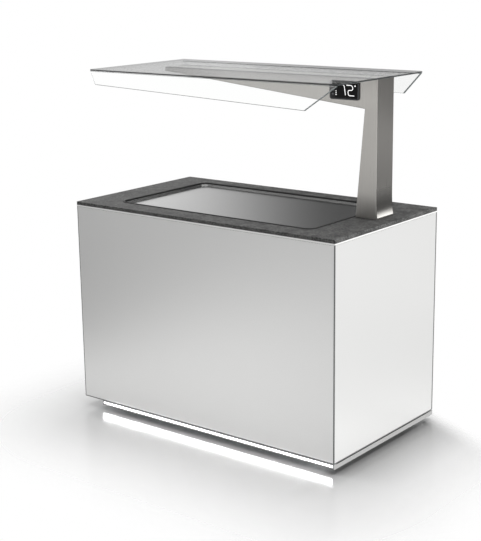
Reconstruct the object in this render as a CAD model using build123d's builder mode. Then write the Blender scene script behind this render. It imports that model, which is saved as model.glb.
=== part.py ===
from build123d import *
import os
from math import cos, radians, sin, sqrt, tan

# Refrigerated buffet counter, in millimetres. The origin is on the floor under the middle of the body.
# X runs along the counter to the guest's right, Y runs to the back, Z is up, and guests stand on the -Y side.

# Body
body_length = 1300.0
body_depth = 730.0
worktop_height = 900.0
slab_thickness = 14.0
slab_bevel = 1.0
trim_height = 4.0
panel_depth = 18.0
panel_sheet = 1.5
panel_bottom = 42.0
panel_reveal = 1.0
rear_inset = 5.0
joint_gap = 0.2
running_clearance = 0.05

# Base tray and feet
tray_sheet = 2.0
tray_wall_height = 40.0
foot_inset_x = 90.0
foot_inset_y = 95.0
foot_pad_diameter = 60.0
foot_pad_height = 10.0
foot_pad_bevel = 3.0
foot_hex_across = 24.0
foot_hex_height = 10.0
foot_stem_diameter = 16.0
foot_collar_diameter = 26.0
foot_collar_height = 8.0
foot_boss_diameter = 34.0
foot_boss_height = 40.0
foot_bore_roof = 4.0
foot_stem_end_gap = 6.0

# Frame of angle steel
upright_leg = 40.0
rail_leg = 30.0
angle_thickness = 3.0

# Light strip and base band
light_height = 20.0
light_wall = 2.0
light_left_inset = 104.0
light_board_thickness = 2.0
band_groove = 4.0
band_height = 18.0
band_shelf = 40.0
band_rear_gap = 70.0

# Cold plate and what lies under it
well_left_margin = 154.0
well_front_margin = 92.0
well_rear_margin = 82.0
well_post_gap = 5.0
well_corner = 42.0
seal_width = 8.0
seal_drop = 4.0
seal_slack = 0.2
plate_border = 6.0
plate_border_drop = 2.0
plate_recess = 12.0
plate_floor = 4.0
coil_tube = 9.5
coil_slack = 0.3
coil_passes = 8
coil_edge = 20.0
coil_stub_edge = 16.0
coil_bend = 25.0
coil_stub_drop = 80.0
foam_thickness = 50.0
foam_lip = 2.0
foam_border = 30.0
well_sheet = 1.2
well_flange = 8.0
drain_inset = 34.0
drain_flange_diameter = 44.0
drain_flange_thickness = 1.5
drain_tube_diameter = 30.0
drain_tube_bore = 24.0
drain_hole_diameter = 5.0
drain_hole_circle = 14.0
drain_tail = 32.0
valve_diameter = 40.0
valve_height = 50.0
valve_tail_diameter = 28.0
valve_tail_length = 40.0
valve_neck_diameter = 20.0
valve_neck_reach = 30.0
valve_stem_diameter = 8.0
lever_thickness = 4.0
lever_hub_diameter = 22.0
lever_width = 14.0
lever_length = 95.0
lever_gap = 0.3

# Rear panel, door, latch and switch
door_width = 580.0
door_gap = 2.0
door_end_gap = 1.0
door_stile = 12.0
pivot_diameter = 8.0
pivot_depth = 18.0
pivot_collar_diameter = 12.0
pivot_plate_thickness = 3.0
pivot_plate_size = 34.0
louvre_length = 220.0
louvre_height = 7.0
louvre_pitch = 21.0
louvre_rows = 14
louvre_columns = 2
louvre_column_pitch = 250.0
latch_height = 480.0
latch_edge = 25.0
latch_knob_diameter = 26.0
latch_knob_height = 2.2
latch_grip_height = 2.0
latch_grip_width = 6.0
latch_shaft_diameter = 14.0
latch_cam_length = 40.0
latch_cam_width = 16.0
latch_cam_thickness = 3.0
latch_cam_gap = 0.8
switch_height = 760.0
switch_edge = 120.0
switch_cutout_width = 30.0
switch_cutout_height = 22.0
switch_flange = 2.0
switch_flange_thickness = 1.5
switch_depth = 26.0
switch_wall = 2.5
rocker_depth = 9.0
rocker_dip = 1.5
rocker_slack = 2.0
rocker_sink = 2.5
rocker_pin_diameter = 3.0
rocker_tilt = 8.0

# Condensing unit
unit_right_gap = 102.0
unit_rear_gap = 17.0
unit_length = 470.0
unit_depth = 360.0
unit_deck_height = 20.0
unit_sheet = 2.0
compressor_radius = 75.0
compressor_front_gap = 140.0
compressor_height = 174.0
compressor_shoulder = 40.0
compressor_sole = 12.0
compressor_plate_length = 190.0
compressor_plate_width = 150.0
compressor_plate_thickness = 4.0
mount_inset = 17.0
mount_diameter = 24.0
mount_height = 20.0
mount_bore = 9.0
terminal_width = 60.0
terminal_height = 70.0
terminal_depth = 26.0
terminal_sink = 20.0
condenser_length = 260.0
condenser_depth = 66.0
condenser_height = 236.0
condenser_left_gap = 30.0
condenser_rear_gap = 2.0
fin_pitch = 8.0
fin_slot = 3.0
fin_slot_depth = 6.0
shroud_depth = 30.0
shroud_sheet = 1.5
shroud_lip = 10.0
fan_mouth_diameter = 206.0
fan_tip_clearance = 6.0
fan_hub_diameter = 56.0
fan_hub_length = 24.0
fan_blade_width = 26.0
fan_blade_root = 8.0
fan_blade_thickness = 2.0
fan_blade_pitch = 35.0
fan_blades = 5
fan_shroud_gap = 8.0
motor_diameter = 84.0
motor_length = 56.0
motor_gap = 4.0
motor_shaft_diameter = 8.0
strap_width = 30.0
strap_thickness = 4.0
strap_rise = 30.0
strap_foot = 40.0
drier_diameter = 20.0
drier_length = 90.0
drier_neck = 15.0
line_gap = 0.3
discharge_tube = 8.0
liquid_tube = 6.0
port_inset = 20.0
line_bend = 14.0
suction_bend = 25.0
liquid_run_height = 600.0
suction_run_height = 400.0

# Electrical
electrical_length = 150.0
electrical_depth = 100.0
electrical_height = 146.0
electrical_corner = 3.0
electrical_unit_gap = 30.0
electrical_rear_gap = 37.0
gland_diameter = 20.0
gland_hex_across = 26.0
gland_bore = 10.0
gland_below = 15.0
gland_nut = 8.0
gland_thread = 14.0
gland_inset_x = 250.0
gland_inset_y = 105.0
cable_diameter = 6.0
cable_bend = 30.0
cable_run_height = 560.0

# Post and arm
post_right_inset = 68.0
post_foot_width = 93.0
post_top_width = 55.5
post_front = 14.0
post_depth = 116.0
post_sheet = 2.0
arm_corner_height = 1321.0
arm_root_height = 114.0
arm_reach = 1054.0
arm_tip_height = 15.0
flare_height = 32.0
flare_reach = 7.0
flare_edge = 0.4
cover_slack = 0.3
core_plate_thickness = 10.0
core_plate_margin = 6.0
core_tube_width = 44.0
core_tube_depth = 60.0
core_tube_wall = 3.0
core_top_gap = 8.0
web_thickness = 6.0
web_clearance = 8.0
web_reach = 834.0
bolt_diameter = 10.0
bolt_hole_slack = 1.0
bolt_head_diameter = 16.0
bolt_head_height = 7.0
bolt_edge = 15.0
spreader_thickness = 10.0
spreader_margin = 8.0
spreader_gap = 2.0
cable_hole_diameter = 14.0
cable_hole_edge = 16.0
cable_hole_right = 37.0

# Glass
glass_length = 1220.0
glass_width = 590.0
glass_thickness = 8.0
glass_bevel = 0.8
bond_height = 2.0
bond_width = 10.0
bond_edge = 3.0
flap_thickness = 6.0
flap_lean = 30.0
flap_drop_left = 49.0
flap_drop_right = 87.0
flap_inset_left = 52.0
flap_inset_right = 105.0

# Controller on the arm
controller_width = 132.0
controller_height = 71.0
controller_corner = 9.0
controller_stand = 6.0
controller_bevel = 1.5
controller_from_post = 89.5
controller_drop = 48.5
case_width = 119.0
case_height = 59.0
case_depth = 42.0
case_slack = 0.5
window_width = 104.0
window_height = 58.0
window_corner = 4.0
window_offset = 10.0
window_thickness = 3.0
window_drop = 0.5
window_slack = 0.2
digit_height = 42.0
digit_width = 24.0
digit_stroke = 4.0
digit_relief = 0.4
digit_gap = 10.0
digit_bar_gap = 1.0
digit_centre = 24.0
dot_size = 4.0
dot_corner = 1.0
dot_column = -35.0
dot_pitch = 12.0
key_size = 10.0
key_corner = 2.0
key_column = -52.0
key_pitch = 16.0
key_slack = 0.2
key_proud = 0.8
key_travel = 0.8
key_names = ["upper", "middle", "lower"]

# Places that follow from the sizes above
half_length = body_length / 2
half_depth = body_depth / 2
frame_half_length = half_length - panel_depth
frame_half_depth = half_depth - panel_depth
rear_face = half_depth - rear_inset
rear_depth = rear_face - frame_half_depth
slab_bottom = worktop_height - slab_thickness
panel_top = slab_bottom - trim_height
tray_floor = panel_bottom + tray_sheet
foot_x = half_length - foot_inset_x
foot_y = half_depth - foot_inset_y

post_right = half_length - post_right_inset
post_left = post_right - post_foot_width
post_rear = post_front + post_depth
post_middle = post_front + post_depth / 2
arm_top = arm_corner_height + arm_root_height

well_left = -half_length + well_left_margin
well_right = post_left - well_post_gap
well_front = -half_depth + well_front_margin
well_rear = half_depth - well_rear_margin
well_length = well_right - well_left
well_width = well_rear - well_front
well_middle = ((well_left + well_right) / 2, (well_front + well_rear) / 2)
plate_length = well_length - 2 * seal_width
plate_width = well_width - 2 * seal_width
plate_corner = well_corner - seal_width
plate_top = worktop_height - plate_recess
plate_bottom = plate_top - plate_floor
coil_height = plate_bottom - coil_slack - coil_tube / 2
pocket_floor = coil_height - coil_tube / 2 - coil_slack
foam_bottom = pocket_floor - foam_thickness
pocket_length = plate_length - 2 * foam_border
pocket_width = plate_width - 2 * foam_border
pocket_left = well_middle[0] - pocket_length / 2
pocket_right = well_middle[0] + pocket_length / 2
pocket_front = well_middle[1] - pocket_width / 2
pocket_rear = well_middle[1] + pocket_width / 2
coil_stub_x = pocket_right - coil_stub_edge
coil_stub_end = coil_height - coil_stub_drop
floor_margin = seal_width + plate_border
drain_at = (well_right - floor_margin - drain_inset, well_rear - floor_margin - drain_inset)
drain_bottom = foam_bottom - well_sheet - drain_tail
coil_front = pocket_front + coil_edge + coil_tube / 2
coil_rear = drain_at[1] - drain_flange_diameter / 2 - coil_edge - coil_tube / 2
coil_pitch = (coil_rear - coil_front) / (coil_passes - 1)
coil_rows = [coil_front + coil_pitch * number for number in range(coil_passes)]

unit_right = frame_half_length - unit_right_gap
unit_left = unit_right - unit_length
unit_rear = frame_half_depth - unit_rear_gap
unit_front = unit_rear - unit_depth
deck = tray_floor + unit_deck_height
compressor_x = coil_stub_x
compressor_y = unit_front + compressor_front_gap
sole_height = deck + mount_height
shell_bottom = sole_height + compressor_plate_thickness
shell_top = shell_bottom + compressor_height
condenser_left = unit_left + condenser_left_gap
condenser_right = condenser_left + condenser_length
condenser_rear = unit_rear - condenser_rear_gap
condenser_front = condenser_rear - condenser_depth
condenser_middle = (condenser_left + condenser_right) / 2
shroud_front = condenser_front - shroud_depth
fan_height = deck + condenser_height / 2
fan_rear = shroud_front - fan_shroud_gap
fan_front = fan_rear - fan_hub_length
motor_front = fan_front - motor_gap - motor_length

glass_bottom = arm_top + bond_height
controller_face = post_front - controller_stand

os.makedirs("parts", exist_ok=True)


def block(low, high, mode=Mode.ADD):
    """A box between two opposite corners, in the part that is being built."""
    size = [b - a for a, b in zip(low, high)]
    middle = tuple((a + b) / 2 for a, b in zip(low, high))
    with Locations(middle):
        Box(*size, mode=mode)


def bore(point, radius, length, mode=Mode.SUBTRACT):
    """An upright cylinder from a point upwards, cut from the part that is being built or added to it."""
    with Locations(point):
        Cylinder(radius, length, align=(Align.CENTER, Align.CENTER, Align.MIN), mode=mode)


def facing_back(x, y, z):
    """A plane that looks to the back, with its own x to the guest's left."""
    return Plane(origin=(x, y, z), x_dir=(-1, 0, 0), z_dir=(0, 1, 0))


def facing_front(x, y, z):
    """A plane that looks to the front, with its own x to the guest's right."""
    return Plane(origin=(x, y, z), x_dir=(1, 0, 0), z_dir=(0, -1, 0))


def tube(points, radii, diameter):
    """A round tube along straight runs joined by tangent arcs."""
    with BuildPart() as pipe:
        with BuildLine() as path:
            FilletPolyline(*points, radius=radii)
        with BuildSketch(Plane(origin=path.line @ 0, z_dir=path.line % 0)):
            Circle(diameter / 2)
        sweep()
    return pipe


def write(piece, name):
    """Names a finished piece and writes it to its own file."""
    piece.part.label = name
    export_step(piece.part, f"parts/{name}.step")


# Base tray: folded sheet with a low wall and four bosses for the feet
foot_corners = {
    "front_left": (-foot_x, -foot_y),
    "front_right": (foot_x, -foot_y),
    "rear_left": (-foot_x, foot_y),
    "rear_right": (foot_x, foot_y),
}
gland_at = (-half_length + gland_inset_x, half_depth - gland_inset_y)
foot_bore_radius = foot_stem_diameter / 2 + running_clearance

with BuildPart() as base_tray:
    block(
        (-frame_half_length, -frame_half_depth, panel_bottom),
        (frame_half_length, frame_half_depth, panel_bottom + tray_wall_height),
    )
    block(
        (-frame_half_length + tray_sheet, -frame_half_depth + tray_sheet, tray_floor),
        (frame_half_length - tray_sheet, frame_half_depth - tray_sheet, panel_bottom + tray_wall_height),
        mode=Mode.SUBTRACT,
    )
    for x, y in foot_corners.values():
        bore((x, y, tray_floor), foot_boss_diameter / 2, foot_boss_height, mode=Mode.ADD)
        bore((x, y, panel_bottom), foot_bore_radius, tray_sheet + foot_boss_height - foot_bore_roof)
    bore((*gland_at, panel_bottom), gland_diameter / 2 + joint_gap, tray_sheet)
write(base_tray, "base_tray")


def levelling_foot(x, y):
    """A pad, a hexagon for the spanner, and a stem whose collar stops against the boss."""
    stem_top = tray_floor + foot_boss_height - foot_bore_roof - foot_stem_end_gap
    with BuildPart() as foot:
        bore((x, y, 0), foot_pad_diameter / 2, foot_pad_height, mode=Mode.ADD)
        chamfer(foot.edges().group_by(Axis.Z)[-1], foot_pad_bevel)
        with BuildSketch(Plane.XY.offset(foot_pad_height)):
            with Locations((x, y)):
                RegularPolygon(foot_hex_across / 2, 6, major_radius=False)
        extrude(amount=foot_hex_height)
        bore((x, y, foot_pad_height), foot_stem_diameter / 2, stem_top - foot_pad_height, mode=Mode.ADD)
        collar_bottom = panel_bottom - foot_collar_height
        bore((x, y, collar_bottom), foot_collar_diameter / 2, foot_collar_height, mode=Mode.ADD)
    return foot


for corner, (x, y) in foot_corners.items():
    write(levelling_foot(x, y), f"levelling_foot_{corner}")

# Corner uprights: angle steel standing on the tray, under the rails
upright_x = frame_half_length - angle_thickness
upright_y = frame_half_depth - angle_thickness
with BuildPart() as corner_uprights:
    for side_x in (-1, 1):
        for side_y in (-1, 1):
            with BuildSketch(Plane.XY.offset(tray_floor)):
                with BuildLine():
                    Polyline(
                        (side_x * upright_x, side_y * upright_y),
                        (side_x * (upright_x - upright_leg), side_y * upright_y),
                        (side_x * (upright_x - upright_leg), side_y * (upright_y - angle_thickness)),
                        (side_x * (upright_x - angle_thickness), side_y * (upright_y - angle_thickness)),
                        (side_x * (upright_x - angle_thickness), side_y * (upright_y - upright_leg)),
                        (side_x * upright_x, side_y * (upright_y - upright_leg)),
                        close=True,
                    )
                make_face()
            extrude(amount=slab_bottom - angle_thickness - tray_floor)
write(corner_uprights, "corner_uprights")

# Top rails: angle steel under the stone, two long and two short, a joint gap apart
short_rail = frame_half_depth - rail_leg - joint_gap
with BuildPart() as top_rails:
    for side in (-1, 1):
        for reach, drop in ((rail_leg, angle_thickness), (angle_thickness, rail_leg)):
            low, high = sorted((side * frame_half_depth, side * (frame_half_depth - reach)))
            block((-frame_half_length, low, slab_bottom - drop), (frame_half_length, high, slab_bottom))
            low, high = sorted((side * frame_half_length, side * (frame_half_length - reach)))
            block((low, -short_rail, slab_bottom - drop), (high, short_rail, slab_bottom))
write(top_rails, "top_rails")


def folded_panel(outline, pocket):
    """A panel of folded sheet: a plan outline raised to its height, and hollowed from the back."""
    with BuildPart() as panel:
        with BuildSketch(Plane.XY.offset(panel_bottom)):
            with BuildLine():
                Polyline(*outline, close=True)
            make_face()
        extrude(amount=panel_top - panel_bottom)
        with BuildSketch(Plane.XY.offset(panel_bottom + panel_sheet)):
            with BuildLine():
                Polyline(*pocket, close=True)
            make_face()
        extrude(amount=panel_top - panel_bottom - 2 * panel_sheet, mode=Mode.SUBTRACT)
    return panel


# Front and end panels meet at mitred corners, with a fine joint between them
mitre = panel_reveal / sqrt(2)
mitre_sheet = panel_sheet * sqrt(2)
front_half = half_length - mitre
front_panel = folded_panel(
    [
        (-front_half, -half_depth),
        (front_half, -half_depth),
        (front_half - panel_depth, -frame_half_depth),
        (-front_half + panel_depth, -frame_half_depth),
    ],
    [
        (-front_half + panel_sheet + mitre_sheet, -half_depth + panel_sheet),
        (front_half - panel_sheet - mitre_sheet, -half_depth + panel_sheet),
        (front_half - panel_depth - mitre_sheet, -frame_half_depth),
        (-front_half + panel_depth + mitre_sheet, -frame_half_depth),
    ],
)
write(front_panel, "front_panel")


def end_panel(side):
    """The panel of one end: mitred at the front, square at the back."""
    front = -half_depth + mitre
    return folded_panel(
        [
            (side * half_length, front),
            (side * half_length, half_depth),
            (side * frame_half_length, half_depth),
            (side * frame_half_length, front + panel_depth),
        ],
        [
            (side * (half_length - panel_sheet), front + panel_sheet + mitre_sheet),
            (side * (half_length - panel_sheet), half_depth - panel_sheet),
            (side * frame_half_length, half_depth - panel_sheet),
            (side * frame_half_length, front + panel_depth + mitre_sheet),
        ],
    )


for side, name in ((-1, "left_end_panel"), (1, "right_end_panel")):
    write(end_panel(side), name)

# Rear panel: fixed, beside the door, with the cut-out for the mains switch
hinge_x = frame_half_length - door_end_gap - rear_depth / 2
hinge_y = frame_half_depth + rear_depth / 2
door_free = hinge_x + rear_depth / 2 - door_width
rear_panel_right = door_free - door_gap
switch_x = rear_panel_right - switch_edge
with BuildPart() as rear_panel:
    block(
        (-frame_half_length + joint_gap, frame_half_depth, panel_bottom),
        (rear_panel_right, rear_face, panel_top),
    )
    block(
        (-frame_half_length + joint_gap + panel_sheet, frame_half_depth, panel_bottom + panel_sheet),
        (rear_panel_right - panel_sheet, rear_face - panel_sheet, panel_top - panel_sheet),
        mode=Mode.SUBTRACT,
    )
    with BuildSketch(facing_back(switch_x, rear_face, switch_height)):
        Rectangle(switch_cutout_width, switch_cutout_height)
    extrude(amount=-panel_sheet, mode=Mode.SUBTRACT)
write(rear_panel, "rear_panel")

# Service door: a folded sheet with a solid round stile on the hinge side, and louvres behind the condenser
door_bottom = panel_bottom + door_gap
door_top = panel_top - door_gap
pivot_bore = pivot_diameter / 2 + running_clearance
latch_x = door_free + latch_edge
with BuildPart() as service_door:
    with BuildSketch(Plane.XY.offset(door_bottom)):
        with Locations(((door_free + hinge_x) / 2, hinge_y)):
            Rectangle(hinge_x - door_free, rear_depth)
        with Locations((hinge_x, hinge_y)):
            Circle(rear_depth / 2)
    extrude(amount=door_top - door_bottom)
    block(
        (door_free + panel_sheet, frame_half_depth, door_bottom + panel_sheet),
        (hinge_x - door_stile, rear_face - panel_sheet, door_top - panel_sheet),
        mode=Mode.SUBTRACT,
    )
    bore((hinge_x, hinge_y, door_bottom), pivot_bore, pivot_depth)
    bore((hinge_x, hinge_y, door_top - pivot_depth), pivot_bore, pivot_depth)
    louvre_middle = (door_free + hinge_x - door_stile) / 2
    with BuildSketch(facing_back(louvre_middle, rear_face, fan_height)):
        with GridLocations(louvre_column_pitch, louvre_pitch, louvre_columns, louvre_rows):
            SlotOverall(louvre_length, louvre_height)
    extrude(amount=-panel_sheet, mode=Mode.SUBTRACT)
    with BuildSketch(facing_back(latch_x, rear_face, latch_height)):
        Circle(latch_shaft_diameter / 2 + running_clearance)
    extrude(amount=-panel_sheet, mode=Mode.SUBTRACT)
write(service_door, "service_door")

# Door pivots: a plate under the tray carries the lower pin, and the upper pin stands in the trim
with BuildPart() as door_bottom_pivot:
    block(
        (frame_half_length - pivot_plate_size, frame_half_depth - pivot_plate_size,
         panel_bottom - pivot_plate_thickness),
        (frame_half_length, rear_face, panel_bottom),
    )
    collar_height = door_gap - running_clearance
    bore((hinge_x, hinge_y, panel_bottom), pivot_collar_diameter / 2, collar_height, mode=Mode.ADD)
    pin_length = door_gap + pivot_depth - running_clearance
    bore((hinge_x, hinge_y, panel_bottom), pivot_diameter / 2, pin_length, mode=Mode.ADD)
write(door_bottom_pivot, "door_bottom_pivot")

with BuildPart() as door_top_pivot:
    pin_bottom = door_top - pivot_depth + running_clearance
    pin_top = slab_bottom - joint_gap
    bore((hinge_x, hinge_y, pin_bottom), pivot_diameter / 2, pin_top - pin_bottom, mode=Mode.ADD)
write(door_top_pivot, "door_top_pivot")

# Door latch: a low knob outside, its shaft through the door, and a cam inside
cam_rear = frame_half_depth - latch_cam_gap
with BuildPart() as door_latch:
    with BuildSketch(facing_back(latch_x, rear_face + running_clearance, latch_height)):
        Circle(latch_knob_diameter / 2)
    extrude(amount=latch_knob_height)
    with BuildSketch(facing_back(latch_x, rear_face + latch_knob_height, latch_height)):
        Rectangle(latch_grip_width, latch_knob_diameter - latch_grip_width)
    extrude(amount=latch_grip_height)
    with BuildSketch(facing_back(latch_x, rear_face + latch_knob_height, latch_height)):
        Circle(latch_shaft_diameter / 2)
    extrude(amount=-(rear_face + latch_knob_height - cam_rear))
    with BuildSketch(facing_back(latch_x, cam_rear, latch_height + (latch_cam_length - latch_cam_width) / 2)):
        SlotOverall(latch_cam_length, latch_cam_width, rotation=90)
    extrude(amount=-latch_cam_thickness)
write(door_latch, "door_latch")

# Mains switch: a frame clipped into the rear panel, and a rocker tilted on its pin
rocker_width = switch_cutout_width - 2 * switch_wall - rocker_slack
rocker_height = switch_cutout_height - 2 * switch_wall - rocker_slack
rocker_pivot = rear_face - rocker_sink
with BuildPart() as switch_frame:
    with BuildSketch(facing_back(switch_x, rear_face, switch_height)):
        RectangleRounded(
            switch_cutout_width + 2 * switch_flange, switch_cutout_height + 2 * switch_flange, switch_flange
        )
    extrude(amount=switch_flange_thickness)
    with BuildSketch(facing_back(switch_x, rear_face, switch_height)):
        Rectangle(switch_cutout_width - 2 * joint_gap, switch_cutout_height - 2 * joint_gap)
    extrude(amount=-switch_depth)
    with BuildSketch(facing_back(switch_x, rear_face + switch_flange_thickness, switch_height)):
        Rectangle(switch_cutout_width - 2 * switch_wall, switch_cutout_height - 2 * switch_wall)
    extrude(amount=-(switch_flange_thickness + 2 * rocker_depth), mode=Mode.SUBTRACT)
    with Locations(Location((switch_x, rocker_pivot, switch_height), (0, 90, 0))):
        Cylinder(
            rocker_pin_diameter / 2 + running_clearance, switch_cutout_width - switch_wall, mode=Mode.SUBTRACT
        )
write(switch_frame, "switch_frame")

rocker_plane = Plane(
    origin=(switch_x, rocker_pivot, switch_height),
    x_dir=(0, cos(radians(rocker_tilt)), sin(radians(rocker_tilt))),
    z_dir=(1, 0, 0),
)
with BuildPart() as switch_rocker:
    with BuildSketch(rocker_plane):
        with BuildLine():
            Polyline(
                (-rocker_depth / 2, -rocker_height / 2),
                (rocker_depth / 2, -rocker_height / 2),
                (rocker_depth / 2 - rocker_dip, 0),
                (rocker_depth / 2, rocker_height / 2),
                (-rocker_depth / 2, rocker_height / 2),
                close=True,
            )
        make_face()
    extrude(amount=rocker_width / 2, both=True)
    with Locations(Location((switch_x, rocker_pivot, switch_height), (0, 90, 0))):
        Cylinder(rocker_pin_diameter / 2, switch_cutout_width - switch_wall - 2 * joint_gap)
write(switch_rocker, "switch_rocker")

# Light strip: an opal channel under the front panel, closed at the back by the light board
light_left = -half_length + light_left_inset
light_bottom = panel_bottom - light_height
light_rear = -frame_half_depth
with BuildPart() as light_cover:
    with BuildSketch(Plane.XY.offset(light_bottom)):
        with BuildLine():
            Polyline(
                (light_left, -half_depth),
                (front_half, -half_depth),
                (front_half - panel_depth, light_rear),
                (light_left, light_rear),
                close=True,
            )
        make_face()
    extrude(amount=light_height)
    block(
        (light_left + light_wall, -half_depth + light_wall, light_bottom + light_wall),
        (front_half - panel_depth - light_wall, light_rear, panel_bottom - light_wall),
        mode=Mode.SUBTRACT,
    )
write(light_cover, "light_cover")

with BuildPart() as light_board:
    block(
        (light_left, light_rear, light_bottom),
        (front_half - panel_depth, light_rear + light_board_thickness, panel_bottom),
    )
write(light_board, "light_board")

# Base band under the right end: a face, a shelf behind it and a spacer up to the tray
band_top = panel_bottom - band_groove
band_bottom = band_top - band_height
with BuildPart() as right_base_band:
    with BuildSketch(Plane.XY.offset(band_bottom)):
        with BuildLine():
            Polyline(
                (half_length, -half_depth + mitre),
                (half_length, half_depth),
                (half_length - band_shelf, half_depth),
                (half_length - band_shelf, -frame_half_depth + light_board_thickness + mitre),
                (frame_half_length, -frame_half_depth + light_board_thickness + mitre),
                (frame_half_length, -frame_half_depth + mitre),
                close=True,
            )
        make_face()
    extrude(amount=band_height)
    block(
        (half_length - band_shelf, -frame_half_depth + panel_depth, band_bottom),
        (half_length - panel_sheet, half_depth - panel_sheet, band_top - panel_sheet),
        mode=Mode.SUBTRACT,
    )
    block(
        (half_length - band_shelf, -frame_half_depth + panel_depth, band_top),
        (frame_half_length, frame_half_depth - band_rear_gap, panel_bottom),
    )
write(right_base_band, "right_base_band")

# Trim: four thin mitred bars between the panels and the stone
with BuildPart() as worktop_trim:
    for side in (-1, 1):
        with BuildSketch(Plane.XY.offset(panel_top)):
            with BuildLine():
                Polyline(
                    (-half_length + joint_gap, side * half_depth),
                    (half_length - joint_gap, side * half_depth),
                    (frame_half_length - joint_gap, side * frame_half_depth),
                    (-frame_half_length + joint_gap, side * frame_half_depth),
                    close=True,
                )
            make_face()
        extrude(amount=trim_height)
        with BuildSketch(Plane.XY.offset(panel_top)):
            with BuildLine():
                Polyline(
                    (side * half_length, -half_depth + joint_gap),
                    (side * half_length, half_depth - joint_gap),
                    (side * frame_half_length, frame_half_depth - joint_gap),
                    (side * frame_half_length, -frame_half_depth + joint_gap),
                    close=True,
                )
            make_face()
        extrude(amount=trim_height)
    bore((hinge_x, hinge_y, panel_top), pivot_diameter / 2 + running_clearance, trim_height)
write(worktop_trim, "worktop_trim")

# Holes that the post's bolts and cable pass through, from the spreader up to the core's plate
core_left = post_left + core_plate_margin
core_right = post_right - core_plate_margin
core_front = post_front + core_plate_margin
core_rear = post_rear - core_plate_margin
bolt_places = [
    (x, y)
    for x in (core_left + bolt_edge, core_right - bolt_edge)
    for y in (core_front + bolt_edge, core_rear - bolt_edge)
]
cable_hole = (post_right - cable_hole_right, post_front + cable_hole_edge)


def post_holes(bottom, height, slack):
    """The bolt holes and the cable hole under the post, through one layer of the part being built."""
    for x, y in bolt_places:
        bore((x, y, bottom), (bolt_diameter + slack) / 2, height)
    bore((*cable_hole, bottom), cable_hole_diameter / 2, height)


# Worktop: one stone slab with the well's cut-out and the holes under the post
with BuildPart() as worktop:
    block((-half_length, -half_depth, slab_bottom), (half_length, half_depth, worktop_height))
    chamfer(worktop.edges().group_by(Axis.Z)[-1], slab_bevel)
    with BuildSketch(Plane.XY.offset(slab_bottom)):
        with Locations(well_middle):
            RectangleRounded(well_length, well_width, well_corner)
    extrude(amount=slab_thickness, mode=Mode.SUBTRACT)
    post_holes(slab_bottom, slab_thickness, bolt_hole_slack)
write(worktop, "worktop")

# Seal: a soft ring between the stone and the plate, a little lower than the stone
with BuildPart() as plate_seal:
    with BuildSketch(Plane.XY.offset(plate_bottom)):
        with Locations(well_middle):
            RectangleRounded(
                well_length - 2 * seal_slack, well_width - 2 * seal_slack, well_corner - seal_slack
            )
            RectangleRounded(
                plate_length + 2 * seal_slack,
                plate_width + 2 * seal_slack,
                plate_corner + seal_slack,
                mode=Mode.SUBTRACT,
            )
    extrude(amount=worktop_height - seal_drop - plate_bottom)
write(plate_seal, "plate_seal")

# Cold plate: a stainless floor inside a raised border, with a seat for the drain
with BuildPart() as cold_plate:
    with BuildSketch(Plane.XY.offset(plate_bottom)):
        with Locations(well_middle):
            RectangleRounded(plate_length, plate_width, plate_corner)
    extrude(amount=worktop_height - plate_border_drop - plate_bottom)
    with BuildSketch(Plane.XY.offset(plate_top)):
        with Locations(well_middle):
            RectangleRounded(
                plate_length - 2 * plate_border, plate_width - 2 * plate_border, plate_corner - plate_border
            )
    extrude(amount=plate_recess, mode=Mode.SUBTRACT)
    seat = plate_top - drain_flange_thickness
    bore((*drain_at, seat), drain_flange_diameter / 2 + joint_gap, drain_flange_thickness)
    bore((*drain_at, plate_bottom), drain_tube_diameter / 2 + joint_gap, plate_floor)
write(cold_plate, "cold_plate")

# Evaporator: one copper tube in level passes under the plate, both ends turned down
coil_left = pocket_left + coil_edge
coil_right = coil_stub_x - coil_bend
coil_points = [(coil_stub_x, coil_rows[0], coil_stub_end), (coil_stub_x, coil_rows[0], coil_height)]
for number in range(coil_passes - 1):
    turn_x = coil_left if number % 2 == 0 else coil_right
    coil_points.append((turn_x, coil_rows[number], coil_height))
    coil_points.append((turn_x, coil_rows[number + 1], coil_height))
coil_points.append((coil_stub_x, coil_rows[-1], coil_height))
coil_points.append((coil_stub_x, coil_rows[-1], coil_stub_end))
coil_turn = coil_pitch / 2 - coil_slack
coil_radii = [coil_bend] + [coil_turn] * (2 * coil_passes - 2) + [coil_bend]
write(tube(coil_points, coil_radii, coil_tube), "evaporator_coil")

# Foam under the plate: it carries the plate's border and has a pocket for the coil
foam_left = well_left - foam_lip
foam_right = well_right + foam_lip
foam_front = well_front - foam_lip
foam_rear = well_rear + foam_lip
stub_bore = coil_tube / 2 + 2 * coil_slack
with BuildPart() as insulation:
    block((foam_left, foam_front, foam_bottom), (foam_right, foam_rear, plate_bottom))
    block(
        (pocket_left, pocket_front, pocket_floor),
        (pocket_right, pocket_rear, plate_bottom),
        mode=Mode.SUBTRACT,
    )
    for row in (coil_rows[0], coil_rows[-1]):
        block(
            (coil_stub_x - coil_bend, row - stub_bore, foam_bottom),
            (coil_stub_x + stub_bore, row + stub_bore, pocket_floor),
            mode=Mode.SUBTRACT,
        )
    bore((*drain_at, foam_bottom), drain_tube_diameter / 2 + joint_gap, plate_bottom - foam_bottom)
write(insulation, "insulation")

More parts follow.
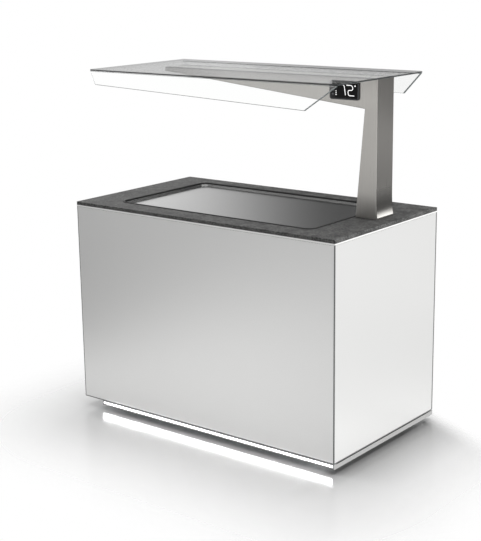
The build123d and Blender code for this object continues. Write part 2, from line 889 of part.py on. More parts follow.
# Well tray: thin sheet round the foam, hung by its flange from under the stone
with BuildPart() as well_tray:
    block(
        (foam_left - well_sheet, foam_front - well_sheet, foam_bottom - well_sheet),
        (foam_right + well_sheet, foam_rear + well_sheet, slab_bottom),
    )
    reach = well_sheet + well_flange
    block(
        (foam_left - reach, foam_front - reach, slab_bottom - well_sheet),
        (foam_right + reach, foam_rear + reach, slab_bottom),
    )
    block((foam_left, foam_front, foam_bottom), (foam_right, foam_rear, slab_bottom), mode=Mode.SUBTRACT)
    for row in (coil_rows[0], coil_rows[-1]):
        bore((coil_stub_x, row, foam_bottom - well_sheet), stub_bore, well_sheet)
    bore((*drain_at, foam_bottom - well_sheet), drain_tube_diameter / 2 + joint_gap, well_sheet)
write(well_tray, "well_tray")

# Drain outlet: a flanged tube with a strainer of small holes, let in level with the plate
drain_seat = plate_top - drain_flange_thickness
with BuildPart() as drain_outlet:
    bore((*drain_at, drain_seat), drain_flange_diameter / 2, drain_flange_thickness, mode=Mode.ADD)
    bore((*drain_at, drain_bottom), drain_tube_diameter / 2, drain_seat - drain_bottom, mode=Mode.ADD)
    bore((*drain_at, drain_bottom), drain_tube_bore / 2, drain_seat - drain_flange_thickness - drain_bottom)
    with BuildSketch(Plane.XY.offset(plate_top)):
        with Locations(drain_at):
            with PolarLocations(drain_hole_circle / 2, 6):
                Circle(drain_hole_diameter / 2)
            Circle(drain_hole_diameter / 2)
    extrude(amount=-2 * drain_flange_thickness, mode=Mode.SUBTRACT)
write(drain_outlet, "drain_outlet")

# Drain valve under the outlet, with its stem towards the door
valve_middle = drain_bottom - valve_height / 2
valve_x, valve_y = drain_at
neck_rear = valve_y + valve_neck_reach
with BuildPart() as drain_valve:
    bore((*drain_at, drain_bottom - valve_height), valve_diameter / 2, valve_height, mode=Mode.ADD)
    tail_bottom = drain_bottom - valve_height - valve_tail_length
    bore((*drain_at, tail_bottom), valve_tail_diameter / 2, valve_tail_length, mode=Mode.ADD)
    with BuildSketch(facing_back(valve_x, valve_y, valve_middle)):
        Circle(valve_neck_diameter / 2)
    extrude(amount=valve_neck_reach)
    with BuildSketch(facing_back(valve_x, neck_rear, valve_middle)):
        Circle(valve_stem_diameter / 2)
    extrude(amount=lever_gap + lever_thickness)
write(drain_valve, "drain_valve")

# Valve lever: level when shut, pointing to the guest's left
with BuildPart() as valve_lever:
    with BuildSketch(facing_back(valve_x, neck_rear + lever_gap, valve_middle)):
        Circle(lever_hub_diameter / 2)
        with Locations((lever_length / 2, 0)):
            SlotOverall(lever_length + lever_width, lever_width)
        Circle(valve_stem_diameter / 2 + running_clearance, mode=Mode.SUBTRACT)
    extrude(amount=lever_thickness)
write(valve_lever, "valve_lever")

# Condensing unit: a deck on two folded legs
with BuildPart() as unit_base:
    block((unit_left, unit_front, tray_floor), (unit_right, unit_rear, deck))
    block(
        (unit_left, unit_front + unit_sheet, tray_floor),
        (unit_right, unit_rear - unit_sheet, deck - unit_sheet),
        mode=Mode.SUBTRACT,
    )
write(unit_base, "unit_base")

# Compressor: a welded round shell on its sole plate
mount_x = compressor_plate_length / 2 - mount_inset
mount_y = compressor_plate_width / 2 - mount_inset
with BuildPart() as compressor:
    bore((compressor_x, compressor_y, shell_bottom), compressor_radius, compressor_height, mode=Mode.ADD)
    fillet(compressor.edges().group_by(Axis.Z)[-1], compressor_shoulder)
    fillet(compressor.edges().group_by(Axis.Z)[0], compressor_sole)
    with BuildSketch(Plane.XY.offset(sole_height)):
        with Locations((compressor_x, compressor_y)):
            RectangleRounded(compressor_plate_length, compressor_plate_width, mount_inset)
            with GridLocations(2 * mount_x, 2 * mount_y, 2, 2):
                Circle(mount_bore / 2, mode=Mode.SUBTRACT)
    extrude(amount=compressor_plate_thickness)
write(compressor, "compressor")

with BuildPart() as compressor_mounts:
    with BuildSketch(Plane.XY.offset(deck)):
        with Locations((compressor_x, compressor_y)):
            with GridLocations(2 * mount_x, 2 * mount_y, 2, 2):
                Circle(mount_diameter / 2)
                Circle(mount_bore / 2, mode=Mode.SUBTRACT)
    extrude(amount=mount_height)
write(compressor_mounts, "compressor_mounts")

with BuildPart() as terminal_cover:
    terminal_rear = compressor_y - compressor_radius + terminal_sink
    terminal_bottom = shell_bottom + compressor_sole + terminal_sink
    block(
        (compressor_x - terminal_width / 2, terminal_rear - terminal_sink - terminal_depth, terminal_bottom),
        (compressor_x + terminal_width / 2, terminal_rear, terminal_bottom + terminal_height),
    )
    bore((compressor_x, compressor_y, shell_bottom), compressor_radius + line_gap, compressor_height)
write(terminal_cover, "terminal_cover")

# Condenser: a finned block, slotted on the side that faces the louvres
fin_count = int((condenser_length - fin_pitch) / fin_pitch)
with BuildPart() as condenser:
    block((condenser_left, condenser_front, deck), (condenser_right, condenser_rear, deck + condenser_height))
    with BuildSketch(facing_back(condenser_middle, condenser_rear, fan_height)):
        with GridLocations(fin_pitch, condenser_height, fin_count, 1):
            Rectangle(fin_slot, condenser_height - 2 * fin_pitch)
    extrude(amount=-fin_slot_depth, mode=Mode.SUBTRACT)
write(condenser, "condenser")

# Fan shroud: a duct on the condenser with a round mouth
mouth_radius = fan_mouth_diameter / 2
with BuildPart() as fan_shroud:
    block((condenser_left, shroud_front, deck), (condenser_right, condenser_front, deck + condenser_height))
    with BuildSketch(facing_front(condenser_middle, shroud_front, fan_height)):
        Circle(mouth_radius + shroud_sheet)
    extrude(amount=shroud_lip)
    block(
        (condenser_left + shroud_sheet, shroud_front + shroud_sheet, deck + shroud_sheet),
        (condenser_right - shroud_sheet, condenser_front, deck + condenser_height - shroud_sheet),
        mode=Mode.SUBTRACT,
    )
    with BuildSketch(facing_front(condenser_middle, shroud_front - shroud_lip, fan_height)):
        Circle(mouth_radius)
    extrude(amount=-(shroud_lip + shroud_sheet), mode=Mode.SUBTRACT)
write(fan_shroud, "fan_shroud")

# Fan motor on a strap that stands on the deck
with BuildPart() as fan_motor:
    with BuildSketch(facing_back(condenser_middle, motor_front, fan_height)):
        Circle(motor_diameter / 2)
    extrude(amount=motor_length)
    with BuildSketch(facing_back(condenser_middle, motor_front + motor_length, fan_height)):
        Circle(motor_shaft_diameter / 2)
    extrude(amount=motor_gap + fan_hub_length)
    block(
        (condenser_middle - strap_width / 2, motor_front - strap_thickness, deck),
        (condenser_middle + strap_width / 2, motor_front, fan_height + strap_rise),
    )
    block(
        (condenser_middle - strap_width / 2, motor_front - strap_foot, deck),
        (condenser_middle + strap_width / 2, motor_front, deck + strap_thickness),
    )
write(fan_motor, "fan_motor")

# Fan: a hub with pitched blades, turning on the motor's shaft
blade_tip = fan_mouth_diameter / 2 - fan_tip_clearance
blade_length = blade_tip - fan_hub_diameter / 2 + fan_blade_root
with BuildPart(facing_front(condenser_middle, (fan_front + fan_rear) / 2, fan_height)) as fan:
    Cylinder(fan_hub_diameter / 2, fan_hub_length)
    with PolarLocations(blade_tip - blade_length / 2, fan_blades):
        Box(blade_length, fan_blade_thickness, fan_blade_width, rotation=(fan_blade_pitch, 0, 0))
    Cylinder(motor_shaft_diameter / 2 + running_clearance, fan_blade_width * 2, mode=Mode.SUBTRACT)
write(fan, "fan")

# Refrigerant lines: condenser to filter drier to evaporator to compressor, and back to the condenser.
# The compressor stands straight below the coil's outlet, so the suction line has no side step.
port_y = (condenser_front + condenser_rear) / 2
low_port = deck + 2 * port_inset
high_port = deck + condenser_height - port_inset
drier_start = condenser_right + line_gap
with BuildPart() as filter_drier:
    with BuildSketch(Plane(origin=(0, port_y, low_port), x_dir=(1, 0, 0), z_dir=(0, -1, 0))):
        with BuildLine():
            Polyline(
                (drier_start, 0),
                (drier_start, liquid_tube / 2),
                (drier_start + drier_neck / 2, liquid_tube / 2),
                (drier_start + drier_neck, drier_diameter / 2),
                (drier_start + drier_neck + drier_length, drier_diameter / 2),
                (drier_start + drier_neck * 1.5 + drier_length, liquid_tube / 2),
                (drier_start + drier_neck * 2 + drier_length, liquid_tube / 2),
                (drier_start + drier_neck * 2 + drier_length, 0),
                close=True,
            )
        make_face()
    revolve(axis=Axis((0, port_y, low_port), (1, 0, 0)))
write(filter_drier, "filter_drier")

liquid_start = drier_start + 2 * drier_neck + drier_length + line_gap
liquid_rise_x = liquid_start + 2 * line_bend
liquid_line = tube(
    [
        (liquid_start, port_y, low_port),
        (liquid_rise_x, port_y, low_port),
        (liquid_rise_x, port_y, liquid_run_height),
        (liquid_rise_x, coil_rows[0], liquid_run_height),
        (coil_stub_x, coil_rows[0], liquid_run_height),
        (coil_stub_x, coil_rows[0], coil_stub_end - line_gap),
    ],
    line_bend,
    liquid_tube,
)
write(liquid_line, "liquid_line")

suction_line = tube(
    [
        (coil_stub_x, coil_rows[-1], coil_stub_end - line_gap),
        (coil_stub_x, coil_rows[-1], suction_run_height),
        (compressor_x, compressor_y, suction_run_height),
        (compressor_x, compressor_y, shell_top + line_gap),
    ],
    suction_bend,
    coil_tube,
)
write(suction_line, "suction_line")

discharge_x = condenser_right - 2 * port_inset
discharge_height = shell_top - compressor_shoulder - port_inset
discharge_run = deck + condenser_height + 2 * port_inset
discharge_line = tube(
    [
        (compressor_x - compressor_radius - line_gap, compressor_y, discharge_height),
        (discharge_x, compressor_y, discharge_height),
        (discharge_x, compressor_y, discharge_run),
        (discharge_x, port_y, discharge_run),
        (condenser_right + 2 * line_bend, port_y, discharge_run),
        (condenser_right + 2 * line_bend, port_y, high_port),
        (condenser_right + line_gap, port_y, high_port),
    ],
    line_bend,
    discharge_tube,
)
write(discharge_line, "discharge_line")

# Electrical box beside the unit, and the gland for the mains lead in the tray
electrical_right = unit_left - electrical_unit_gap
electrical_rear = frame_half_depth - electrical_rear_gap
electrical_top = tray_floor + electrical_height
with BuildPart() as electrical_box:
    block(
        (electrical_right - electrical_length, electrical_rear - electrical_depth, tray_floor),
        (electrical_right, electrical_rear, electrical_top),
    )
    fillet(electrical_box.edges().filter_by(Axis.Z), electrical_corner)
write(electrical_box, "electrical_box")

with BuildPart() as mains_gland:
    gland_bottom = panel_bottom - gland_below
    with BuildSketch(Plane.XY.offset(gland_bottom)):
        with Locations(gland_at):
            RegularPolygon(gland_hex_across / 2, 6, major_radius=False)
    extrude(amount=gland_below)
    bore((*gland_at, panel_bottom), gland_diameter / 2, tray_sheet + gland_thread, mode=Mode.ADD)
    with BuildSketch(Plane.XY.offset(tray_floor)):
        with Locations(gland_at):
            RegularPolygon(gland_hex_across / 2, 6, major_radius=False)
    extrude(amount=gland_nut)
    bore((*gland_at, gland_bottom), gland_bore / 2, gland_below + tray_sheet + gland_thread)
write(mains_gland, "mains_gland")

# Post and arm: one outline seen from the front, an upright with a tapered arm to the guest's left
arm_tip = post_right - arm_reach
arm_corner = post_right - post_top_width
arm_outline = [
    (post_left, worktop_height),
    (arm_corner, arm_corner_height),
    (arm_tip, arm_top - arm_tip_height),
    (arm_tip, arm_top),
    (post_right, arm_top),
    (post_right, worktop_height),
]
controller_middle = (arm_corner - controller_from_post, arm_top - controller_drop)

with BuildPart() as post_shell:
    with BuildSketch(Plane.XZ.offset(-post_front)):
        with BuildLine():
            Polyline(*arm_outline, close=True)
        make_face()
    extrude(amount=-post_depth)
    with BuildSketch(Plane.XZ.offset(-post_front - post_sheet)):
        with BuildLine():
            Polyline(*arm_outline, close=True)
        make_face()
        offset(amount=-post_sheet, kind=Kind.INTERSECTION, mode=Mode.REPLACE)
    extrude(amount=-post_depth, mode=Mode.SUBTRACT)
    with BuildSketch(facing_front(controller_middle[0], post_front, controller_middle[1])):
        Rectangle(case_width + 2 * case_slack, case_height + 2 * case_slack)
    extrude(amount=-post_sheet, mode=Mode.SUBTRACT)
    post_holes(worktop_height, post_sheet, bolt_hole_slack)
    with BuildSketch(Plane.XZ.offset(-post_front)):
        with BuildLine():
            Line((post_right, worktop_height), (post_right + flare_reach, worktop_height))
            TangentArc(
                (post_right + flare_edge, worktop_height + flare_height),
                (post_right + flare_reach, worktop_height),
                tangent=(0, -1),
            )
            Line(
                (post_right + flare_edge, worktop_height + flare_height),
                (post_right, worktop_height + flare_height),
            )
            Line((post_right, worktop_height + flare_height), (post_right, worktop_height))
        make_face()
    extrude(amount=-post_depth)
write(post_shell, "post_shell")

# Rear cover: closes the open back of the post and arm, level with the shell
with BuildPart() as post_cover:
    with BuildSketch(Plane.XZ.offset(-(post_rear - post_sheet))):
        with BuildLine():
            Polyline(*arm_outline, close=True)
        make_face()
        offset(amount=-(post_sheet + cover_slack), kind=Kind.INTERSECTION, mode=Mode.REPLACE)
    extrude(amount=-post_sheet)
write(post_cover, "post_cover")

# Core: the steel that carries the canopy, a plate, a square tube and a tapered web welded together
core_bottom = worktop_height + post_sheet
core_top = arm_top - post_sheet - core_top_gap
tube_right = post_right - post_sheet - post_sheet
tube_left = tube_right - core_tube_width
tube_front = post_middle - core_tube_depth / 2
tube_rear = post_middle + core_tube_depth / 2
arm_slope = (arm_top - arm_tip_height - arm_corner_height) / (arm_corner - arm_tip)
web_left = tube_left - web_reach
with BuildPart() as canopy_core:
    block((core_left, core_front, core_bottom), (core_right, core_rear, core_bottom + core_plate_thickness))
    block((tube_left, tube_front, core_bottom), (tube_right, tube_rear, core_top))
    block(
        (tube_left + core_tube_wall, tube_front + core_tube_wall, core_bottom + core_plate_thickness),
        (tube_right - core_tube_wall, tube_rear - core_tube_wall, core_top),
        mode=Mode.SUBTRACT,
    )
    with BuildSketch(Plane.XZ.offset(-(post_middle - web_thickness / 2))):
        with BuildLine():
            Polyline(
                (tube_left, arm_corner_height + web_clearance),
                (tube_left, core_top),
                (web_left, core_top),
                (web_left, arm_corner_height + web_clearance + arm_slope * web_reach),
                close=True,
            )
        make_face()
    extrude(amount=-web_thickness)
    post_holes(core_bottom, core_plate_thickness, 2 * running_clearance)
write(canopy_core, "canopy_core")

# Spreader plate and bolts that clamp the post to the stone from below
with BuildPart() as spreader_plate:
    block(
        (foam_right + well_sheet + well_flange + spreader_gap, post_front - spreader_margin,
         slab_bottom - spreader_thickness),
        (frame_half_length - rail_leg - joint_gap, post_rear + spreader_margin, slab_bottom),
    )
    post_holes(slab_bottom - spreader_thickness, spreader_thickness, bolt_hole_slack)
write(spreader_plate, "spreader_plate")

with BuildPart() as post_bolts:
    for x, y in bolt_places:
        head_bottom = slab_bottom - spreader_thickness - bolt_head_height
        bolt_top = core_bottom + core_plate_thickness
        with BuildSketch(Plane.XY.offset(head_bottom)):
            with Locations((x, y)):
                RegularPolygon(bolt_head_diameter / 2, 6, major_radius=False)
        extrude(amount=bolt_head_height)
        bore((x, y, head_bottom), bolt_diameter / 2, bolt_top - head_bottom, mode=Mode.ADD)
write(post_bolts, "post_bolts")

# Top glass on two bond strips along the arm
with BuildPart() as glass_bond:
    for front in (post_front + bond_edge, post_rear - bond_edge - bond_width):
        block(
            (arm_tip + bond_edge, front, arm_top),
            (post_right - bond_edge, front + bond_width, glass_bottom),
        )
write(glass_bond, "glass_bond")

with BuildPart() as top_glass:
    block(
        (-glass_length / 2, -glass_width / 2, glass_bottom),
        (glass_length / 2, glass_width / 2, glass_bottom + glass_thickness),
    )
    chamfer(top_glass.edges(), glass_bevel)
write(top_glass, "top_glass")


def flap(side):
    """A clear pane that slopes outwards from one long edge of the top glass, deeper towards the post."""
    lean = radians(flap_lean)
    slope = 1 / cos(lean)
    run_up = flap_thickness * tan(lean)
    edge = side * (glass_width / 2 - glass_bevel)
    pane = Plane(
        origin=(0, edge, glass_bottom),
        x_dir=(1, 0, 0),
        z_dir=(0, -side * cos(lean), -sin(lean)),
    )
    down = -side
    right = glass_length / 2 - glass_bevel
    left = -right
    with BuildPart() as glass:
        with BuildSketch(pane):
            with BuildLine():
                Polyline(
                    (left, -down * run_up),
                    (right, -down * run_up),
                    (right, 0),
                    (right - flap_inset_right, down * flap_drop_right * slope),
                    (left + flap_inset_left, down * flap_drop_left * slope),
                    (left, 0),
                    close=True,
                )
            make_face()
        extrude(amount=flap_thickness)
        split(bisect_by=Plane.XY.offset(glass_bottom), keep=Keep.BOTTOM)
    return glass


for side, name in ((-1, "front_flap"), (1, "rear_flap")):
    write(flap(side), name)

# Controller: a moulded case with its bezel, let into the arm's front
key_places = [(key_column, key_pitch * (1 - number)) for number in range(len(key_names))]
face_plane = facing_front(controller_middle[0], controller_face, controller_middle[1])
window_floor = window_thickness + window_drop
with BuildPart() as controller_case:
    with BuildSketch(facing_front(controller_middle[0], post_front, controller_middle[1])):
        RectangleRounded(controller_width, controller_height, controller_corner)
    extrude(amount=controller_stand)
    chamfer(controller_case.edges().group_by(Axis.Y)[0], controller_bevel)
    with BuildSketch(facing_front(controller_middle[0], post_front, controller_middle[1])):
        Rectangle(case_width, case_height)
    extrude(amount=-case_depth)
    with BuildSketch(face_plane):
        with Locations((window_offset, 0)):
            RectangleRounded(window_width, window_height, window_corner)
    extrude(amount=-window_floor, mode=Mode.SUBTRACT)
    with BuildSketch(face_plane):
        with Locations(key_places):
            RectangleRounded(key_size + 2 * key_slack, key_size + 2 * key_slack, key_corner + key_slack)
    extrude(amount=-controller_stand, mode=Mode.SUBTRACT)
write(controller_case, "controller_case")

with BuildPart() as controller_window:
    with BuildSketch(face_plane.offset(-window_floor)):
        with Locations((window_offset, 0)):
            RectangleRounded(
                window_width - 2 * window_slack,
                window_height - 2 * window_slack,
                window_corner - window_slack,
            )
    extrude(amount=window_thickness)
write(controller_window, "controller_window")

# Lit figures: a one and a two made of bars, a degree mark, and a column of indicator dots
half_digit = digit_height / 2
two_left = digit_centre - digit_width / 2
two_right = digit_centre + digit_width / 2
one_right = two_left - digit_gap
upright_bar = half_digit - digit_stroke - 2 * digit_bar_gap
level_bar = digit_width - 2 * digit_stroke - 2 * digit_bar_gap
upright_bars = [
    (one_right, half_digit / 2),
    (one_right, -half_digit / 2),
    (two_right - digit_stroke / 2, half_digit / 2),
    (two_left + digit_stroke / 2, -half_digit / 2),
]
level_bars = [half_digit - digit_stroke / 2, 0, -half_digit + digit_stroke / 2]
degree_mark = (two_right + 2 * digit_stroke, half_digit - digit_stroke)
with BuildPart() as display_digits:
    with BuildSketch(face_plane.offset(-window_drop)):
        with Locations(upright_bars):
            SlotOverall(upright_bar, digit_stroke, rotation=90)
        with Locations([(digit_centre, height) for height in level_bars]):
            SlotOverall(level_bar, digit_stroke)
        with Locations(degree_mark):
            Circle(digit_stroke)
            Circle(digit_stroke / 2, mode=Mode.SUBTRACT)
        with Locations([(dot_column, dot_pitch * step) for step in (-1, 0, 1)]):
            RectangleRounded(dot_size, dot_size, dot_corner)
    extrude(amount=digit_relief)
write(display_digits, "display_digits")

key_length = key_proud + controller_stand - key_travel - key_slack
for name, place in zip(key_names, key_places):
    with BuildPart() as key:
        with BuildSketch(face_plane.offset(key_proud)):
            with Locations(place):
                RectangleRounded(key_size, key_size, key_corner)
        extrude(amount=-key_length)
    write(key, f"key_{name}")

# Cable from the electrical box, up inside the post to the controller
electrical_middle = (electrical_right - electrical_length / 2, electrical_rear - electrical_depth / 2)
controller_cable = tube(
    [
        (*electrical_middle, electrical_top + line_gap),
        (*electrical_middle, cable_run_height),
        (electrical_middle[0], cable_hole[1], cable_run_height),
        (*cable_hole, cable_run_height),
        (*cable_hole, controller_middle[1]),
        (controller_middle[0] + case_width / 2 + line_gap, cable_hole[1], controller_middle[1]),
    ],
    [cable_bend] * 3 + [cable_bend / 2],
    cable_diameter,
)
write(controller_cable, "controller_cable")
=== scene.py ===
# %% [markdown]
# # Refrigerated buffet counter
# The real counter is a box of flat lacquered panels under a thin stone top. A steel plate is let into the
# stone and kept cold from below, and one post at the right carries a glass canopy. The measured solids come
# in as a fixed frame. This lesson dresses them: a finish for every solid, and a modelled surface wherever an
# edge, a fold or a pane is what the eye sees.

# %% Load the measured frame
from math import cos, pi, radians, sin, tan

import bpy
import numpy as np
from mathutils import Matrix, Vector


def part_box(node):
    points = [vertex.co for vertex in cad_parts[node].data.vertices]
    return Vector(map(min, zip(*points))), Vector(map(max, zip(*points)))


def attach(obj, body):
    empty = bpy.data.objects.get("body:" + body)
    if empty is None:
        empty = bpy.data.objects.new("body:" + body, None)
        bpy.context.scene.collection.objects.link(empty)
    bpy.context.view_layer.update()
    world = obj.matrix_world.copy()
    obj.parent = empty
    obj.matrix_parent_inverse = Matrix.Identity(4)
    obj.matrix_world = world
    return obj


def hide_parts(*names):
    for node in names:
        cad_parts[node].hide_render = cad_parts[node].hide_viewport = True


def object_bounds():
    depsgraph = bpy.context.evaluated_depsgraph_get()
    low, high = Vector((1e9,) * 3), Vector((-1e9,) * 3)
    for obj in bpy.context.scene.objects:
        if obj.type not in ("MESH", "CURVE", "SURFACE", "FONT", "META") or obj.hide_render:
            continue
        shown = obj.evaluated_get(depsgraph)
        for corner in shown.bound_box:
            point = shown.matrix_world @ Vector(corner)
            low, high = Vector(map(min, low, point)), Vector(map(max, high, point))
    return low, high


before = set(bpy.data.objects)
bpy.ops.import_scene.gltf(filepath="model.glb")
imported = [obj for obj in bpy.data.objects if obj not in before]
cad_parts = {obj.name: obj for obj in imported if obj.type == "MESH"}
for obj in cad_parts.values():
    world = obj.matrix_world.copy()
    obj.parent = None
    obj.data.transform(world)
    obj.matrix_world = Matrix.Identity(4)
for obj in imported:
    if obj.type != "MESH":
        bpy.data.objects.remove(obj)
solid_low, solid_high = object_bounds()
scene = bpy.context.scene
print("solids:", len(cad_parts), "size in mm:", [round(1000 * side) for side in solid_high - solid_low])

# %% [markdown]
# ## Camera
# The photograph was taken from the front right, a little above the worktop. The position, the turn and the
# focal length were solved from the corners of the body and the canopy. Building the turn from three axes
# keeps the small roll of the picture, which a track-to constraint would lose.

# %% Place the camera
camera_azimuth = radians(38.36)
camera_elevation = radians(14.08)
camera_roll = radians(-0.81)
camera_place = Vector((3.09205, -3.99538, 1.88805))
focal_length_pixels = 1255.62
picture_height_pixels = 541
sensor_side = 36.0

level = cos(camera_elevation)
backwards = Vector((sin(camera_azimuth) * level, -cos(camera_azimuth) * level, sin(camera_elevation)))
rightwards = Vector((cos(camera_azimuth), sin(camera_azimuth), 0))
upwards = backwards.cross(rightwards)
rolled_right = rightwards * cos(camera_roll) + upwards * sin(camera_roll)
rolled_up = upwards * cos(camera_roll) - rightwards * sin(camera_roll)
camera_turn = Matrix((rolled_right, rolled_up, backwards)).transposed().to_4x4()

camera_data = bpy.data.cameras.new("camera")
camera_data.sensor_width = sensor_side
camera_data.lens = focal_length_pixels / picture_height_pixels * sensor_side
camera = bpy.data.objects.new("camera", camera_data)
camera.matrix_world = Matrix.Translation(camera_place) @ camera_turn
scene.collection.objects.link(camera)
scene.camera = camera
scene.view_settings.view_transform = "Standard"
print("lens in mm:", round(camera_data.lens, 2))

# %% [markdown]
# ## Small helpers for shaders
# Colours are written as sRGB hex values, the way they are read off a paint card, and shaders want them
# linear. One function adds a node, sets its properties and fills its inputs with plain values or with what
# another node gives.

# %% Colour and node helpers
def linear(hex_colour):
    """An sRGB hex colour as linear RGBA: each channel goes back through the sRGB curve."""
    channels = np.array([int(hex_colour[start:start + 2], 16) for start in (1, 3, 5)]) / 255
    straight = channels / 12.92
    curved = ((channels + 0.055) / 1.055) ** 2.4
    return (*np.where(channels <= 0.04045, straight, curved).tolist(), 1.0)


def fill(node, inputs):
    """Fills a node's inputs: a node gives its first output, an output is linked, and a value is set."""
    for key, value in dict(inputs).items():
        source = value.outputs[0] if isinstance(value, bpy.types.Node) else value
        if isinstance(source, bpy.types.NodeSocket):
            node.id_data.links.new(source, node.inputs[key])
        else:
            node.inputs[key].default_value = source


def add_node(tree, kind, inputs=(), **settings):
    """Adds a shader node of that kind, with settings for its properties and its inputs filled."""
    node = tree.nodes.new("ShaderNode" + kind)
    for key, value in settings.items():
        setattr(node, key, value)
    fill(node, inputs)
    return node


def fresh_tree(owner):
    """The emptied node tree of a material or a world."""
    owner.use_nodes = True
    owner.node_tree.nodes.clear()
    return owner.node_tree


print("white is", linear("#ffffff")[:3])

# %% [markdown]
# ## Studio
# The counter stands in a white studio. The world is plain white where it is looked at, mirrored or seen
# through glass, and dimmer where it only fills the shadows, so that the soft boxes can shape the panels.
# Diffuse Depth tells the two apart behind glass: a ray that has already met a dull surface is light, not
# sight.

# %% White world with a dimmer fill
fill_strength = 0.26

world = bpy.data.worlds.new("white_studio")
scene.world = world
sky = fresh_tree(world)
ray = add_node(sky, "LightPath").outputs
looked = ray["Is Camera Ray"]
for kind in ("Is Glossy Ray", "Is Transmission Ray"):
    looked = add_node(sky, "Math", {0: looked, 1: ray[kind]}, operation="MAXIMUM")
first = add_node(sky, "Math", {0: ray["Diffuse Depth"], 1: 0.5}, operation="LESS_THAN")
sight = add_node(sky, "Math", {0: looked, 1: first}, operation="MULTIPLY")
sky_strength = add_node(sky, "MapRange", {"Value": sight, "To Min": fill_strength})
sky_light = add_node(sky, "Background", {"Color": linear("#ffffff"), "Strength": sky_strength})
add_node(sky, "OutputWorld", {"Surface": sky_light})
print("fill strength:", fill_strength)

# %% [markdown]
# ## Soft boxes
# Three large lamps shape the object. One stands to the right and makes the right end the brightest face. One
# lies low in front, so the front panel pales downwards and to the right as in the photograph. One hangs
# overhead for the stone and the floor. They are kept out of sight and out of mirrors, as soft boxes are in a
# studio.

# %% Hang the soft boxes
def aimed(place, aim, axis):
    """The matrix of an object at place whose own axis points at aim, with its Y side upwards."""
    look = (Vector(aim) - Vector(place)).to_track_quat(axis, "Y")
    return Matrix.Translation(place) @ look.to_matrix().to_4x4()


def soft_box(name, place, aim, width, height, watts):
    """An oblong area lamp at place, turned so that its face looks at aim; lengths are in metres."""
    data = bpy.data.lights.new(name, "AREA")
    data.shape = "RECTANGLE"
    data.size = width
    data.size_y = height
    data.energy = watts
    lamp = bpy.data.objects.new(name, data)
    lamp.matrix_world = aimed(place, aim, "-Z")
    lamp.visible_camera = False
    lamp.visible_glossy = False
    scene.collection.objects.link(lamp)
    print(name, "watts:", watts)


soft_box("right_soft_box", place=(6.0, 0.3, 0.5), aim=(0.6, 0.0, 0.5), width=3.0, height=0.9, watts=375)
soft_box("front_soft_box", place=(0.0, -1.6, 0.12), aim=(0.0, 0.0, 0.2), width=1.8, height=0.2, watts=10)
soft_box("overhead_soft_box", place=(0.0, 0.3, 4.2), aim=(0.0, 0.0, 0.0), width=3.0, height=3.0, watts=105)

# %% [markdown]
# ## Cards for the steel and the glass
# Polished things look like what they mirror, so a studio photographer stands grey and white cards round them.
# These cards only show in mirrors. A grey one behind the well shades the plate towards the post, a dark one
# in front keeps the shine off the plate's back rim, a small flag keeps it off the glass before the
# controller, and a pale one behind greys the left of the top glass. One on the floor and one standing behind
# it shade the upper left of the front panel, and one on the right shades the foot of the right end. Behind
# the right side of the post stand two wide cards, grey below and dark above, and in front of those a narrow
# dark and a narrow bright one, which only the skirt at the foot is smooth enough to show. A strip of bright
# card before the light strip gives the floor the broad white band that it mirrors in the photograph.

# %% Stand the cards
def mesh_object(name, points, faces, coats):
    """An object in the scene, from points in metres and faces, that carries those materials."""
    mesh = bpy.data.meshes.new(name)
    mesh.from_pydata(points.tolist(), [], faces)
    for coat in coats:
        mesh.materials.append(coat)
    thing = bpy.data.objects.new(name, mesh)
    scene.collection.objects.link(thing)
    return thing


def card(name, place, aim, size, tone, fade, strength=1.0):
    """A flat card of that width and height, in metres, that only mirrors see.

    fade is how far in from its left, right, lower and upper edge it thins out: four smooth ramps, multiplied.
    """
    material = bpy.data.materials.new(name)
    tree = fresh_tree(material)
    spot = add_node(tree, "SeparateXYZ", {0: add_node(tree, "TexCoord").outputs["Object"]}).outputs
    half_width, half_height = np.array(size) / 2
    edges = [("X", -half_width, fade[0]), ("X", half_width, -fade[1]),
             ("Y", -half_height, fade[2]), ("Y", half_height, -fade[3])]
    mask = 1.0
    for axis, edge, reach in edges:
        ramp = add_node(tree, "MapRange", {"Value": spot[axis], "From Min": edge, "From Max": edge + reach},
                        interpolation_type="SMOOTHSTEP")
        mask = add_node(tree, "Math", {0: mask, 1: ramp}, operation="MULTIPLY")
    clear = add_node(tree, "BsdfTransparent")
    paint = add_node(tree, "Emission", {"Color": linear(tone), "Strength": strength})
    add_node(tree, "OutputMaterial", {"Surface": add_node(tree, "MixShader", {0: mask, 1: clear, 2: paint})})
    corners = np.array([(-1, -1, 0), (1, -1, 0), (1, 1, 0), (-1, 1, 0)]) * (half_width, half_height, 0)
    board = mesh_object(name, corners, [(0, 1, 2, 3)], [material])
    board.matrix_world = aimed(place, aim, "Z")
    for use in ("camera", "diffuse", "transmission", "shadow"):
        setattr(board, "visible_" + use, False)
    print(name, "in metres:", size)


def post_card(name, place, width, lowest, highest, tone, fade, strength=1.0):
    """One of the cards behind the right side of the post, between two heights; all of them face the post."""
    middle = (lowest + highest) / 2
    card(name, (*place, middle), (0.6, 0.1, middle), (width, highest - lowest), tone, fade, strength)


